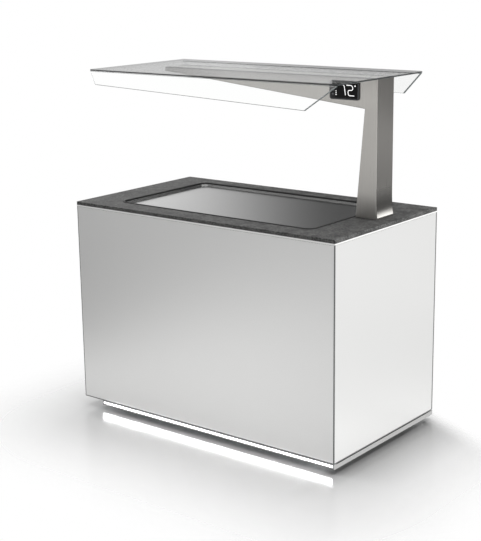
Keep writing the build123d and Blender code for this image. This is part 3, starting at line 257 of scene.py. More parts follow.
card("plate_card", place=(-0.45, 0.78, 1.12), aim=(-0.45, 0.0, 1.12), size=(1.98, 0.9), tone="#626262",
     fade=(1.4, 0.1, 0.1, 0.1))
card("rim_card", place=(-3.2, -4.2, 2.2), aim=(0.0, 0.0, 2.2), size=(6.0, 1.7), tone="#7c7c7c",
     fade=(0.5, 0.5, 0.15, 0.3))
card("controller_flag", place=(-0.352, 1.2, 1.62), aim=(-0.352, 0.0, 1.62), size=(0.16, 0.036),
     tone="#000000", fade=(0.015, 0.015, 0.005, 0.005))
card("glass_card", place=(-2.4, 2.0, 1.68), aim=(-2.4, 0.0, 1.68), size=(1.6, 0.26), tone="#d4d4d4",
     fade=(0.2, 0.7, 0.05, 0.05))
card("floor_card", place=(-3.95, -2.45, 0.01), aim=(-3.95, -2.45, 1.0), size=(6.1, 3.5), tone="#202020",
     fade=(0.5, 2.2, 0.3, 1.2))
card("wall_card", place=(-5.5, -4.6, 0.22), aim=(-5.5, 0.0, 0.22), size=(3.0, 0.44), tone="#202020",
     fade=(0.5, 1.5, 0.02, 0.2))
card("end_floor_card", place=(1.25, 0.7, 0.01), aim=(1.25, 0.7, 1.0), size=(1.2, 2.0), tone="#585858",
     fade=(0.05, 0.8, 0.3, 0.9))
post_card("post_grey_card", (2.55, 3.3), 3.2, -1.5, 0.75, "#9c9c9c", (0.4, 0.4, 0.05, 0.05))
post_card("post_dark_card", (2.55, 3.3), 3.2, 0.7, 1.75, "#626262", (0.4, 0.4, 0.05, 0.4))
post_card("skirt_dark_card", (2.605, 3.14), 0.6, 0.1, 0.85, "#686868", (0.1, 0.1, 0.1, 0.05))
post_card("skirt_bright_card", (2.6, 3.12), 0.2, 0.54, 0.84, "#ffffff", (0.02, 0.02, 0.15, 0.03), 3.0)
card("strip_card", place=(0.05, -0.367, 0.028), aim=(0.05, -1.0, 0.028), size=(1.19, 0.028), tone="#ffffff",
     fade=(0.004, 0.004, 0.003, 0.003), strength=24.0)

# %% [markdown]
# ## Surfaces from formulas
# Almost everything on this counter is a flat outline with a shaped edge: a slab with an arris, a pane with a
# polished edge, a sheet folded back at its rim. So one idea makes them all: an outline is carried through a
# profile, moved inwards and raised step by step. Each row of points is worked out as a whole array, the rows
# make one grid, and faces follow.

# %% Outline and profile helpers
# The width in millimetres of the narrow flat step beside a bend.
LAND = 0.8


def unit(vectors):
    """Each vector divided by its own length."""
    return vectors / np.linalg.norm(vectors, axis=-1, keepdims=True)


def rectangle(low, high, radius=0.0, steps=6):
    """An anticlockwise rectangle between two opposite corners, with an arc at each corner unless radius is 0.

    Corner k, counted from the lower left, turns from k + 2 to k + 3 quarter turns about its own centre, which
    lies radius inside both of its sides.
    """
    signs = np.array([(-1, -1), (1, -1), (1, 1), (-1, 1)])
    corners = np.where(signs < 0, low[:2], high[:2])
    if not radius:
        return corners
    turns = pi / 2 * (np.arange(4)[:, None] + 2 + np.linspace(0, 1, steps))
    arcs = radius * np.stack([np.cos(turns), np.sin(turns)], axis=2)
    return ((corners - radius * signs)[:, None] + arcs).reshape(-1, 2)


def move_sides(outline, insets):
    """An anticlockwise outline with each side moved inwards by its own inset, or all of them by one.

    A corner goes to where its two moved sides cross: its shift s solves n . s = inset for the inward normal n
    of both sides.
    """
    along = unit(np.roll(outline, -1, axis=0) - outline)
    inward = np.stack([-along[:, 1], along[:, 0]], axis=1)
    insets = np.broadcast_to(insets, len(outline))
    both_sides = np.stack([np.roll(inward, 1, axis=0), inward], axis=1)
    both_insets = np.stack([np.roll(insets, 1), insets], axis=1)[:, :, None]
    return outline + np.linalg.solve(both_sides, both_insets)[:, :, 0]


def carry(outline, profile):
    """The outline carried through a profile of (inset, height) steps, as a grid of points.

    An inset may be one for each side, and a height one for each corner.
    """
    return np.stack([np.insert(move_sides(outline, inset), 2, height, axis=1) for inset, height in profile])


def with_lands(profile):
    """A profile with one more flat step at each end, which keeps the shading of the wide faces flat."""
    profile = np.asarray(profile, float)
    return np.concatenate([profile[:1] + (LAND, 0), profile, profile[-1:] + (LAND, 0)])


def quarter(radius, start_angle, centre_inset, centre_height, steps=4):
    """Profile steps on a quarter circle about a centre, a quarter turn on from start_angle."""
    angles = start_angle + np.linspace(0, pi / 2, steps)
    return np.stack([centre_inset - radius * np.cos(angles), centre_height + radius * np.sin(angles)], axis=1)


def half_round(width, foot, rise, steps):
    """Profile steps over a bead: inwards by half the width times (1 - cos t), up by rise times sin t."""
    turns = np.linspace(0, pi, steps)
    return np.stack([width / 2 * (1 - np.cos(turns)), foot + rise * np.sin(turns)], axis=1)


def grid_faces(rows, columns, wrap_rows=False, wrap_columns=False):
    """Four-cornered faces of a grid of points; a wrapped direction joins its end to its start."""
    number = np.arange(rows * columns).reshape(rows, columns)
    if wrap_rows:
        number = np.vstack([number, number[:1]])
    if wrap_columns:
        number = np.hstack([number, number[:, :1]])
    corners = [number[:-1, :-1], number[:-1, 1:], number[1:, 1:], number[1:, :-1]]
    return np.stack(corners, axis=-1).reshape(-1, 4)


print("a quarter profile:", quarter(1.0, 0.0, 1.0, 0.0).round(2).tolist())

# %% [markdown]
# A piece is then one mesh of one or more such surfaces, each with its own finish. Lengths are written in
# millimetres, as on a drawing, and turned to metres when the mesh is made. `facing` gives the three
# directions of a face: across, up and out of it, always right-handed so that faces point outwards.

# %% Turn surfaces into pieces
MILLIMETRE = 0.001
SMOOTH_ANGLE = radians(35)
facing = {
    "front": np.array([(1, 0, 0), (0, 0, 1), (0, -1, 0)], float),
    "back": np.array([(-1, 0, 0), (0, 0, 1), (0, 1, 0)], float),
    "right": np.array([(0, 1, 0), (0, 0, 1), (1, 0, 0)], float),
    "left": np.array([(0, -1, 0), (0, 0, 1), (-1, 0, 0)], float),
    "up": np.eye(3),
}


def solid_of(grid, turn=facing["up"], origin=(0, 0, 0), band=0, ends=0):
    """A closed surface from a carried outline: the band of the grid, with its first and last rows filled in.

    band and ends number the finishes; band may also be an array with a number for each row or each face.
    """
    rows, columns = grid.shape[:2]
    points = grid.reshape(-1, 3) @ turn + np.asarray(origin, float)
    faces = grid_faces(rows, columns, wrap_columns=True).tolist()
    faces += [list(range(columns))[::-1], list(range((rows - 1) * columns, rows * columns))]
    return points, faces, [*np.broadcast_to(band, (rows - 1, columns)).ravel().tolist(), ends, ends]


def ring_of(grid, turn=facing["up"], origin=(0, 0, 0), band=0):
    """A closed ring from an outline carried through a closed profile: the grid wraps both ways."""
    points = grid.reshape(-1, 3) @ turn + np.asarray(origin, float)
    faces = grid_faces(*grid.shape[:2], wrap_rows=True, wrap_columns=True).tolist()
    return points, faces, np.broadcast_to(band, grid.shape[:2]).ravel().tolist()


def make_piece(name, surfaces, slot, stands_for=(), coats=None, body="counter"):
    """One mesh from several surfaces, each of them points, faces and the number of each face's finish.

    coats are the finishes in that numbering; without them the piece has the one finish of its slot.
    """
    points, faces, finish_numbers, start = [], [], [], 0
    for spots, corners, numbers in surfaces:
        points.append(spots)
        faces += [[start + corner for corner in face] for face in corners]
        finish_numbers += numbers
        start += len(spots)
    piece = mesh_object(name, np.concatenate(points) * MILLIMETRE, faces, coats or [finishes[slot]])
    piece.data.polygons.foreach_set("material_index", finish_numbers)
    piece.data.polygons.foreach_set("use_smooth", np.ones(len(faces), bool))
    piece.data.set_sharp_from_angle(angle=SMOOTH_ANGLE)
    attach(piece, body)
    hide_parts(*stands_for)
    print(name, "faces:", len(faces))
    return piece


def millimetres(node):
    """A solid's lowest and highest corners in millimetres, as two arrays."""
    low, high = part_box(node)
    return np.array(low) / MILLIMETRE, np.array(high) / MILLIMETRE


print("front panel spans", [corner.round(1).tolist() for corner in millimetres("front_panel")])

# %% [markdown]
# ## Plain finishes with a grain
# Paint, moulded plastic, rubber, drawn tube and brushed steel differ in colour, shine and grain, but the eye
# reads them the same way: a colour that wanders a little, a shine that wanders with it, and a faint relief.
# One noise can drive all three. Stretching the noise along one axis turns specks into brush lines.

# %% One function for grained finishes
# The Mix node's sockets for two colours and their mixture, and for two numbers.
COLOUR_FIRST, COLOUR_SECOND, COLOUR_RESULT = 6, 7, 2
FLOAT_FIRST, FLOAT_SECOND = 2, 3
EVEN = (1, 1, 1)


def start_finish(name, constants=()):
    """A material with one Principled shader, its constant sockets set, and the piece's own coordinates."""
    material = bpy.data.materials.new(name)
    tree = fresh_tree(material)
    shader = add_node(tree, "BsdfPrincipled", constants)
    add_node(tree, "OutputMaterial", {"Surface": shader})
    place = add_node(tree, "TexCoord").outputs["Object"]
    return material, tree, shader, place


def noise_of(tree, place, grain, stretch=EVEN, detail=3.0):
    """A noise with patches about grain millimetres wide, lengthened along each axis by stretch."""
    scale = [1 / (grain * MILLIMETRE * length) for length in stretch]
    mapping = add_node(tree, "Mapping", {"Vector": place, "Scale": scale})
    return add_node(tree, "TexNoise", {"Vector": mapping, "Scale": 1.0, "Detail": detail}).outputs["Fac"]


def drive(tree, shader, value, tones, roughness, relief, shine_value=None):
    """Lets one pattern drive a shader: two tones, a range of roughness and a relief in millimetres.

    shine_value, if given, drives the roughness in the pattern's place.
    """
    dark, pale = [linear(tone) for tone in tones]
    colour = add_node(tree, "Mix", {0: value, COLOUR_FIRST: dark, COLOUR_SECOND: pale}, data_type="RGBA")
    shine_value = value if shine_value is None else shine_value
    shine = add_node(tree, "MapRange", {"Value": shine_value, "To Min": roughness[0], "To Max": roughness[1]})
    bump = add_node(tree, "Bump", {"Height": value, "Distance": relief * MILLIMETRE})
    fill(shader, {"Base Color": colour.outputs[COLOUR_RESULT], "Roughness": shine, "Normal": bump})


def grained_finish(name, tones, grain, roughness, relief, stretch=EVEN, constants=()):
    """A finish driven by one noise, whose patches are grain millimetres wide before they are stretched."""
    material, tree, shader, place = start_finish(name, constants)
    drive(tree, shader, noise_of(tree, place, grain, stretch), tones, roughness, relief)
    return material


METAL = {"Metallic": 1.0}
NO_SHINE = {"Specular IOR Level": 0.0}
along_counter = (60, 1, 1)
up_the_post = (1, 1, 60)
round_the_stem = (8, 8, 1)
recipes = {
    # Steel sheet with a stoved silver lacquer: metal flakes under a satin shine, a faint orange peel.
    "panel_lacquer": ("satin_lacquered_sheet", ("#dfdfde", "#e5e5e4"), 5.0,
                      (0.36, 0.42), 0.02, EVEN, {"Metallic": 0.4}),
    # Angle steel with a baked powder coat: dull dark grey with a fine pebble.
    "frame_steel": ("powder_coated_steel", ("#3b3c3e", "#47484a"), 1.5, (0.55, 0.7), 0.05),
    # Extruded aluminium, etched and anodised: matt and almost white, a bright thin line.
    "trim_aluminium": ("anodised_aluminium", ("#f0f0ef", "#f8f8f7"), 2.0,
                       (0.45, 0.55), 0.01, along_counter, {"Metallic": 0.25}),
    # Stainless sheet with a satin belt finish along its length, where food pans slide.
    "plate_steel": ("satin_stainless_plate", ("#b6b6b6", "#c0c0bf"), 2.5,
                    (0.13, 0.18), 0.003, along_counter, METAL),
    # Stainless sheet brushed up and down: the lines are drawn at 3 mm so that they show.
    "post_steel": ("brushed_stainless_post", ("#b1aeaa", "#bcbab6"), 3.0,
                   (0.26, 0.31), 0.002, up_the_post, METAL),
    # Black silicone run into the joint: dull, slightly uneven.
    "seal_rubber": ("black_silicone_seal", ("#141414", "#1d1d1d"), 3.0, (0.45, 0.6), 0.08),
    "bond_black": ("glazing_silicone", ("#6e7070", "#7a7c7c"), 3.0, (0.5, 0.6), 0.05),
    # Glossy moulded plastic of the controller, and the smoked window in it.
    "controller_black": ("gloss_black_abs", ("#161618", "#1e1e20"), 4.0,
                         (0.2, 0.3), 0.004, EVEN, {"Specular IOR Level": 0.3}),
    "controller_window": ("smoked_acrylic", ("#030304", "#060607"), 8.0,
                          (0.05, 0.09), 0.0, EVEN, {"Specular IOR Level": 0.12}),
    # Moulded silicone keys: dark grey, matt.
    "key_grey": ("silicone_keys", ("#46474a", "#525357"), 1.0, (0.5, 0.6), 0.02),
    # Drawn copper tube: warm, with patches where it was handled and brazed.
    "copper": ("drawn_copper_tube", ("#b06a45", "#d08d66"), 14.0, (0.25, 0.42), 0.02, EVEN, METAL),
    # Turned and cast brass of the drain valve.
    "brass": ("cast_brass", ("#a8873f", "#c9a95f"), 2.5, (0.3, 0.45), 0.04, EVEN, METAL),
    # Poured polyurethane foam: yellowed cream, open cells.
    "foam": ("polyurethane_foam", ("#cdb987", "#e7d9ae"), 3.0, (0.85, 0.95), 0.5),
    # Compressor shell in stoved black enamel.
    "compressor_black": ("stoved_black_enamel", ("#0f1011", "#191a1c"), 4.0, (0.25, 0.38), 0.03),
    # Rolled aluminium fins.
    "fin_aluminium": ("rolled_aluminium_fin", ("#b9bcbe", "#d4d7d8"), 3.0, (0.3, 0.45), 0.02, EVEN, METAL),
    # Glass-filled nylon: black, faintly sparkling.
    "black_plastic": ("glass_filled_nylon", ("#151617", "#212224"), 1.2, (0.42, 0.56), 0.03),
    "grey_plastic": ("moulded_grey_abs", ("#aeb0b1", "#bcbebf"), 1.5, (0.45, 0.55), 0.03),
    "mount_rubber": ("mount_rubber", ("#171717", "#242424"), 2.0, (0.7, 0.85), 0.06),
    # Vinyl-dipped steel lever.
    "lever_red": ("red_vinyl_dip", ("#9c1d19", "#b52c26"), 5.0, (0.28, 0.4), 0.03),
    # Bright zinc plate on turned steel: rings from the lathe run round the stem.
    "foot_steel": ("zinc_plated_steel", ("#a9acb0", "#c6c9cc"), 1.0,
                   (0.28, 0.42), 0.02, round_the_stem, METAL),
    "cable_black": ("pvc_cable_sheath", ("#131314", "#1e1e20"), 2.0, (0.45, 0.55), 0.03),
    # White solder mask of the light board.
    "light_board": ("white_solder_mask", ("#e6e8e6", "#f0f1ef"), 2.0, (0.35, 0.5), 0.02),
}
finishes = {slot: grained_finish(*recipe) for slot, recipe in recipes.items()}
print("grained finishes:", len(finishes))

# %% [markdown]
# ## Stone
# The top is a thin slab of dark sintered stone. Pressed mineral powder gives two scales at once: clouds a few
# centimetres wide and a pepper of grains. Two noises are added, and their sum drives the tone and the relief.
# Real grains are under a millimetre, so they are drawn at 7 mm to show from across the room. The cut edge is
# honed and a little more even.

# %% Sintered stone finish
grain_share = 0.65


def stone_finish(name, tones):
    """Clouds and grains added together, clouds counting for about a third, and their contrast raised."""
    material, tree, shader, place = start_finish(name, {"Specular IOR Level": 0.2})
    clouds = noise_of(tree, place, grain=45.0)
    grains = noise_of(tree, place, grain=7.0, detail=5.0)
    both = add_node(tree, "Mix", {0: grain_share, FLOAT_FIRST: clouds, FLOAT_SECOND: grains},
                    data_type="FLOAT")
    spread = add_node(tree, "MapRange", {"Value": both, "From Min": 0.4, "From Max": 0.6})
    drive(tree, shader, spread, tones, roughness=(0.5, 0.68), relief=0.25)
    return material


finishes["worktop_stone"] = stone_finish("sintered_dark_stone", ("#303030", "#6e6e6d"))
stone_edge = stone_finish("honed_stone_edge", ("#333333", "#626261"))
print("stone:", finishes["worktop_stone"].name, stone_edge.name)

# %% [markdown]
# ## Galvanised sheet
# Hot-dip zinc freezes in flat crystals, each catching the light a little differently. A Voronoi pattern has
# just such cells, so its cell colour drives tone and shine.

# %% Galvanised finish
crystal_width = 12.0


def galvanised_finish():
    """One tone and one shine for each Voronoi cell."""
    material, tree, shader, place = start_finish("galvanised_sheet", METAL)
    cells = add_node(tree, "TexVoronoi", {"Vector": place, "Scale": 1 / (crystal_width * MILLIMETRE)})
    tone = add_node(tree, "SeparateColor", {"Color": cells.outputs["Color"]})
    drive(tree, shader, tone.outputs[0], ("#8d9194", "#b4b8ba"), roughness=(0.35, 0.55), relief=0.01)
    return material


finishes["sheet_galvanised"] = galvanised_finish()
print("galvanised:", finishes["sheet_galvanised"].name)

# %% [markdown]
# ## Glass
# The canopy top is grey tinted float glass and the flaps are clear. In the photograph the controller shows
# through the tinted pane, so the pane lets about half of the light pass. A cut and polished edge shows the
# green-grey depth of the sheet, so edges get a dark finish of their own.

# %% Glass finishes
GLASS_IOR = 1.5


def glass_finish(name, tones, constants):
    """Smooth glass whose tint wanders very slightly, as the faint streaks of a float line do."""
    material, tree, shader, place = start_finish(name, {"IOR": GLASS_IOR, **constants})
    streaks = noise_of(tree, place, grain=120.0, stretch=(4, 1, 1))
    drive(tree, shader, streaks, tones, roughness=(0.0, 0.004), relief=0.0)
    return material


# The tinted pane is thin for its width and seen almost edge on, so it is a see-through film with a gloss.
finishes["top_glass"] = glass_finish("grey_float_glass", ("#2c2e2e", "#343636"), {"Alpha": 0.45})
finishes["flap_glass"] = glass_finish("clear_float_glass", ("#fdfefd", "#ffffff"),
                                      {"Transmission Weight": 1.0})
glass_edges = {
    "top_glass": grained_finish("grey_glass_edge", ("#1c2021", "#272b2c"), 6.0, (0.25, 0.35), 0.01),
    "flap_glass": grained_finish("clear_glass_edge", ("#343a3a", "#424848"), 6.0, (0.25, 0.35), 0.01),
}
print("glass:", finishes["top_glass"].name, finishes["flap_glass"].name, list(glass_edges))

# %% [markdown]
# ## Light
# The strip under the front panel glows through an opal cover, and the display figures glow behind a smoked
# window. Both are lamps in their own right, so they are the only finishes with emission. Behind the cover
# sits one diode every 12 mm, which leaves a faint beat along the strip.

# %% Glowing finishes
dimmest_share = 0.92


def glowing_finish(name, strength, beat):
    """White light whose strength varies by a few percent in bands beat millimetres long."""
    white = linear("#ffffff")
    material, tree, shader, place = start_finish(name, {"Emission Color": white, "Roughness": 0.4})
    wave = add_node(tree, "TexWave", {"Vector": place, "Scale": pi / (10 * beat * MILLIMETRE)},
                    bands_direction="X").outputs["Fac"]
    dimmest = dimmest_share * strength
    level = add_node(tree, "MapRange", {"Value": wave, "To Min": dimmest, "To Max": strength})
    fill(shader, {"Emission Strength": level})
    return material


finishes["light_opal"] = glowing_finish("glowing_opal_cover", strength=1.2, beat=12.0)
finishes["display_white"] = glowing_finish("glowing_display_segment", strength=1.0, beat=4.0)
print("glowing:", finishes["light_opal"].name, finishes["display_white"].name)

# %% [markdown]
# ## Dress the solids
# Every solid carries the name of its record slot as its material. Swapping that for the finish of the same
# slot dresses all of them at once, including the ones that a modelled surface will stand for later.

# %% Give every solid its finish
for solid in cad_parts.values():
    for place_holder in solid.material_slots:
        place_holder.material = finishes[place_holder.material.name]
# The band under the right end gets a darker grey than the panels.
band_lacquer = grained_finish("satin_grey_lacquered_band", ("#9c9c9b", "#a2a2a1"), 5.0, (0.36, 0.42), 0.02)
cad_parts["right_base_band"].material_slots[0].material = band_lacquer
print("dressed solids:", len(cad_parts))

# %% [markdown]
# ## Floor
# The studio floor is pale and slightly polished, so that the light strip mirrors in it. It is a wide disc
# that fades into the white world, which leaves no horizon: slowly to the left, quickly behind, where the
# photograph is white. Beside the right end the photograph has a deep soft shade, which comes from how much
# of the sky the counter hides.

# %% Lay the floor
floor_inner_radius, floor_radius = 0.05, 3.0
floor_rings, floor_spokes = 12, 96
# The footprint in metres, how fast the floor fades off each of its sides, and the slant of its rear edge.
floor_low = np.array([-0.32, -0.445, 0.0])
floor_high = np.array([0.77, 0.285, 0.0])
low_haste = np.array([0.9, 1.0, 1.0])
high_haste = np.array([1.5, 5.0, 1.0])
rear_slant = np.array([0.0, 0.5, 0.0])
fade_start, fade_end = 0.04, 0.8
floor_mirror = 0.5
shade_reach, shade_depth, shade_ramp = 0.28, 1.25, 0.06


def floor_finish():
    """Polished pale floor that turns transparent with the distance from the counter's own footprint.

    A point's distance is the length of what lies outside the footprint, max(low - place, place - high, 0),
    and on each side it is multiplied by a haste: less than 1 to the left, more to the right and behind. The
    rear edge of the footprint slants back towards the left. Beside the right end the floor is shaded by how
    much of its sky the counter hides.
    """
    material, tree, shader, place = start_finish("polished_pale_floor")
    drive(tree, shader, noise_of(tree, place, 400.0), ("#f1f1f1", "#f5f5f5"), (0.16, 0.18), 0.0)
    along = add_node(tree, "SeparateXYZ", {0: place})
    from_right = add_node(tree, "Math", {0: along, 1: solid_high[0]}, operation="SUBTRACT")
    before = add_node(tree, "VectorMath", {0: place, 1: -low_haste, 2: floor_low * low_haste},
                      operation="MULTIPLY_ADD")
    after = add_node(tree, "VectorMath", {0: place, 1: high_haste, 2: -floor_high * high_haste},
                     operation="MULTIPLY_ADD")
    after = add_node(tree, "VectorMath", {0: from_right, 1: rear_slant * high_haste, 2: after},
                     operation="MULTIPLY_ADD")
    outside = add_node(tree, "VectorMath", {0: before, 1: after}, operation="MAXIMUM")
    outside = add_node(tree, "VectorMath", {0: outside, 1: (0, 0, 0)}, operation="MAXIMUM")
    distance = add_node(tree, "VectorMath", {0: outside}, operation="LENGTH").outputs["Value"]
    fade = add_node(tree, "MapRange", {"Value": distance, "From Min": fade_start, "From Max": fade_end},
                    interpolation_type="SMOOTHSTEP")

    open_sky = add_node(tree, "AmbientOcclusion", {"Distance": shade_reach}).outputs["AO"]
    open_sky = add_node(tree, "Math", {0: open_sky, 1: shade_depth}, operation="POWER")
    beside = add_node(tree, "MapRange", {"Value": from_right, "From Min": -shade_ramp, "From Max": 0.0})
    light = add_node(tree, "Mix", {0: beside, FLOAT_FIRST: 1.0, FLOAT_SECOND: open_sky}, data_type="FLOAT")
    paint = shader.inputs["Base Color"].links[0].from_socket
    shaded = add_node(tree, "VectorMath", {0: paint, "Scale": light}, operation="SCALE")
    mirror = add_node(tree, "Math", {0: light, 1: floor_mirror}, operation="MULTIPLY")
    fill(shader, {"Base Color": shaded, "Specular IOR Level": mirror})

    clear = add_node(tree, "BsdfTransparent")
    both = add_node(tree, "MixShader", {0: fade, 1: shader, 2: clear})
    output = next(node for node in tree.nodes if node.type == "OUTPUT_MATERIAL")
    fill(output, {"Surface": both})
    return material


radii, turns = np.meshgrid(np.linspace(floor_inner_radius, floor_radius, floor_rings),
                           np.linspace(0, 2 * pi, floor_spokes, endpoint=False), indexing="ij")
floor_points = np.stack([radii * np.cos(turns), radii * np.sin(turns), 0 * radii], axis=-1).reshape(-1, 3)
floor_faces = grid_faces(*radii.shape, wrap_columns=True)[:, ::-1].tolist() + [list(range(floor_spokes))]
floor = mesh_object("floor", floor_points, floor_faces, [floor_finish()])
print("floor faces:", len(floor_faces))

# %% [markdown]
# ## Folded panels and their joints
# Front and ends are sheet steel cassettes: the rim is folded back on a mitre, so that two panels meet at a
# corner with a fine joint. In the photograph every panel has a thin dark line down its sides and along its
# foot. It is that joint, filled with a rubber strip, and it is wider at the back edge of the two ends. Under
# the worktop the strip is lacquered pale. A profile carried round the rectangle makes the cassette, and
# another makes the strip.

# %% Make the panels
panel_sheet, panel_bend, panel_depth = 1.5, 0.8, 13.0
panel_mitre = radians(45)
joint_width, rear_joint_width = 2.8, 7.0
strip_depth, strip_sunk, strip_lap = 5.0, 0.3, 1.0
strip_edge, strip_round = 0.4, 0.6
pale_upper_side = np.array([0, 0, 1, 0])
joint_grey = grained_finish("joint_strip_rubber", ("#686969", "#747575"), 2.0, (0.6, 0.75), 0.03,
                            constants=NO_SHINE)


def fold_profile(sheet, bend, depth, lean=0.0):
    """Steps of a sheet folded back at its rim: inside face, inner wall, tip, outer wall, bend, outside face.

    lean is the fold past square: 0 folds straight back and 45 degrees mitres the corner.
    """
    slope = tan(lean)
    wall = sheet / cos(lean)
    flat_end = bend * (1 + sin(lean)) + LAND
    walls = [(wall + slope * sheet, -sheet), (wall + slope * depth, -depth), (slope * depth, -depth),
             (slope * flat_end, -flat_end)]
    turns = np.linspace(pi + lean, pi / 2, 6)
    reach = bend / tan((pi / 2 - lean) / 2)
    nose = np.stack([reach + bend * np.cos(turns), bend * np.sin(turns) - bend], axis=1)
    return with_lands(np.concatenate([walls, nose]))


def face_frame(node, side):
    """A node's lowest and highest corners in a side's own directions: across, up and out of it."""
    corners = np.stack(millimetres(node)) @ facing[side].T
    return corners.min(axis=0), corners.max(axis=0)


def folded_panel(node, side, right_joint=joint_width, left_joint=joint_width):
    """A mitred cassette and the joint strip round it, filling the front of the node's own box."""
    low, high = face_frame(node, side)
    origin = high[2] * facing[side][2]
    outer = rectangle(low, high)
    joints = np.array([joint_width, right_joint, joint_width, left_joint])
    fold = fold_profile(panel_sheet, panel_bend, panel_depth, panel_mitre)
    cassette = solid_of(carry(move_sides(outer, joints), fold), facing[side], origin)
    inner = joints + strip_lap
    strip_steps = [(strip_edge, -strip_depth), (0.0, -strip_sunk - strip_round), (strip_edge, -strip_sunk),
                   (inner - strip_edge, -strip_sunk), (inner, -strip_sunk - 2 * strip_round),
                   (inner, -strip_depth)]
    strip = ring_of(carry(outer, strip_steps), facing[side], origin, band=pale_upper_side)
    make_piece(node + "_sheet", [cassette], "panel_lacquer", [node])
    make_piece(node + "_joint_strip", [strip], "seal_rubber", coats=[joint_grey, finishes["panel_lacquer"]])


folded_panel("front_panel", "front")
folded_panel("right_end_panel", "right", right_joint=rear_joint_width)
folded_panel("left_end_panel", "left", left_joint=rear_joint_width)

# %% [markdown]
# ## Stone slab
# The slab is one ring: up its outer edge, over a small arris, across the top to the cut-out and down again.
# Outer and inner outlines have the same number of points, so a single grid that wraps both ways closes the
# slab.

# %% Make the slab
slab_low, slab_high = millimetres("worktop")
seal_low, seal_high = millimetres("plate_seal")
slab_foot, slab_top = slab_low[2], slab_high[2]
slab_radius, arris, softness = 1.5, 1.2, 0.3
outer_land, inner_land = 0.2, 1.0
cut_out_gap, cut_out_radius = 0.2, 42.0
slab_edge = rectangle(slab_low, slab_high, slab_radius, steps=8)
cut_out = rectangle(seal_low - cut_out_gap, seal_high + cut_out_gap, cut_out_radius, steps=8)
outer_steps = [(softness, slab_foot), (0.0, slab_foot + softness),
               *quarter(arris, 0, arris, slab_top - arris), (arris + outer_land, slab_top)]
inner_steps = [(-arris - inner_land, slab_top), (-arris, slab_top), (-arris / 3, slab_top - softness),
               (0.0, slab_top - arris), (0.0, slab_foot)]
slab_grid = np.concatenate([carry(slab_edge, outer_steps), carry(cut_out, inner_steps)])
honed_rows = np.array([1, 1] + [0] * (len(slab_grid) - 2))[:, None]
make_piece("stone_slab", [ring_of(slab_grid, band=honed_rows)], "worktop_stone", ["worktop"],
           coats=[finishes["worktop_stone"], stone_edge])

# %% [markdown]
# ## Cold plate and its seal
# The plate is a pressed pan: a narrow rim just below the stone, a steep side and a flat floor that runs to
# the drain in the back right corner, which lies a little lower. A dark line runs right round the plate in the
# photograph, at the front as well, where a sunk seal would be hidden. So the seal is a half-round bead of
# rubber that stands a little proud of the stone. The pan's outline is carried over the rim and down to the
# floor, and the floor's last ring is that outline drawn in to the drain's circle, each point along its own
# line to the middle of the drain.

# %% Press the plate and lay the seal
plate_low, plate_high = millimetres("cold_plate")
drain_low, drain_high = millimetres("drain_outlet")
plate_margin, plate_radius = 1.0, 31.0
floor_above_drain, drain_gap = 3.0, 0.1
plate_floor = drain_high[2] + floor_above_drain
rim_width, rim_bend, rim_land, rim_sunk = 5.0, 0.8, 0.4, 2.0
rim_top = plate_high[2] - rim_sunk
pan_bend = 1.2
drain_centre = (drain_low[:2] + drain_high[:2]) / 2
drain_radius = (drain_high[0] - drain_low[0]) / 2 + drain_gap
pan_edge = rectangle(plate_low + plate_margin, plate_high - plate_margin, plate_radius, steps=14)
rim_steps = [*quarter(rim_bend, 0, rim_bend, rim_top - rim_bend), (rim_bend + rim_land, rim_top),
             (rim_width - rim_bend - rim_land, rim_top),
             *quarter(rim_bend, pi / 2, rim_width - rim_bend, rim_top - rim_bend),
             (rim_width, rim_top - rim_bend - rim_land)]
floor_steps = [(rim_width, plate_floor + pan_bend + rim_land), (rim_width, plate_floor + pan_bend),
               (rim_width + pan_bend / 4, plate_floor + pan_bend / 4), (rim_width + pan_bend, plate_floor),
               (rim_width + 2.5 * pan_bend, plate_floor)]
pan_grid = carry(pan_edge, [(0.0, plate_low[2]), *rim_steps, *floor_steps])
drain_ring = drain_centre + drain_radius * unit(pan_edge - drain_centre)
drain_edge = np.stack([np.insert(drain_ring, 2, height, axis=1) for height in (plate_floor, plate_low[2])])
make_piece("cold_plate_pan", [ring_of(np.concatenate([pan_grid, drain_edge]))], "plate_steel", ["cold_plate"])

seal_edge = rectangle(seal_low, seal_high, cut_out_radius - cut_out_gap, steps=14)
seal_width = plate_low[0] + plate_margin - seal_low[0] - cut_out_gap
seal_sunk, seal_rise = 1.0, 4.0
seal_dome = half_round(seal_width, slab_top - seal_sunk, seal_rise, steps=9)
seal_steps = [(0.0, seal_low[2]), *seal_dome, (seal_width, seal_low[2])]
make_piece("plate_seal_bead", [ring_of(carry(seal_edge, seal_steps))], "seal_rubber", ["plate_seal"])

# %% [markdown]
# ## Post and arm
# Post and arm are one folded steel shell, open at the back, where a cover closes it. Its outline is a leaning
# post that turns into a long wedge. The same fold profile as the panels, folded straight back, gives the
# front edges the small radius that catches the light. The curved skirt at the foot of the right side is a
# surface of its own.

# %% Fold the post
shell_low, shell_high = millimetres("post_shell")
shell_sheet, shell_bend = 2.0, 2.2
arm_tip_height = 15.0
post_right = slab_high[0] - 68.0
post_foot_width, post_neck_width, post_neck_drop = 93.0, 55.5, 114.0
post_outline = np.array([
    (post_right - post_foot_width, shell_low[2]), (post_right, shell_low[2]), (post_right, shell_high[2]),
    (shell_low[0], shell_high[2]), (shell_low[0], shell_high[2] - arm_tip_height),
    (post_right - post_neck_width, shell_high[2] - post_neck_drop)])
post_grid = carry(post_outline, fold_profile(shell_sheet, shell_bend, shell_high[1] - shell_low[1]))
post_face = shell_low[1] * np.array([0, 1, 0])
make_piece("post_and_arm_shell", [solid_of(post_grid, facing["front"], post_face)], "post_steel",
           ["post_shell"])

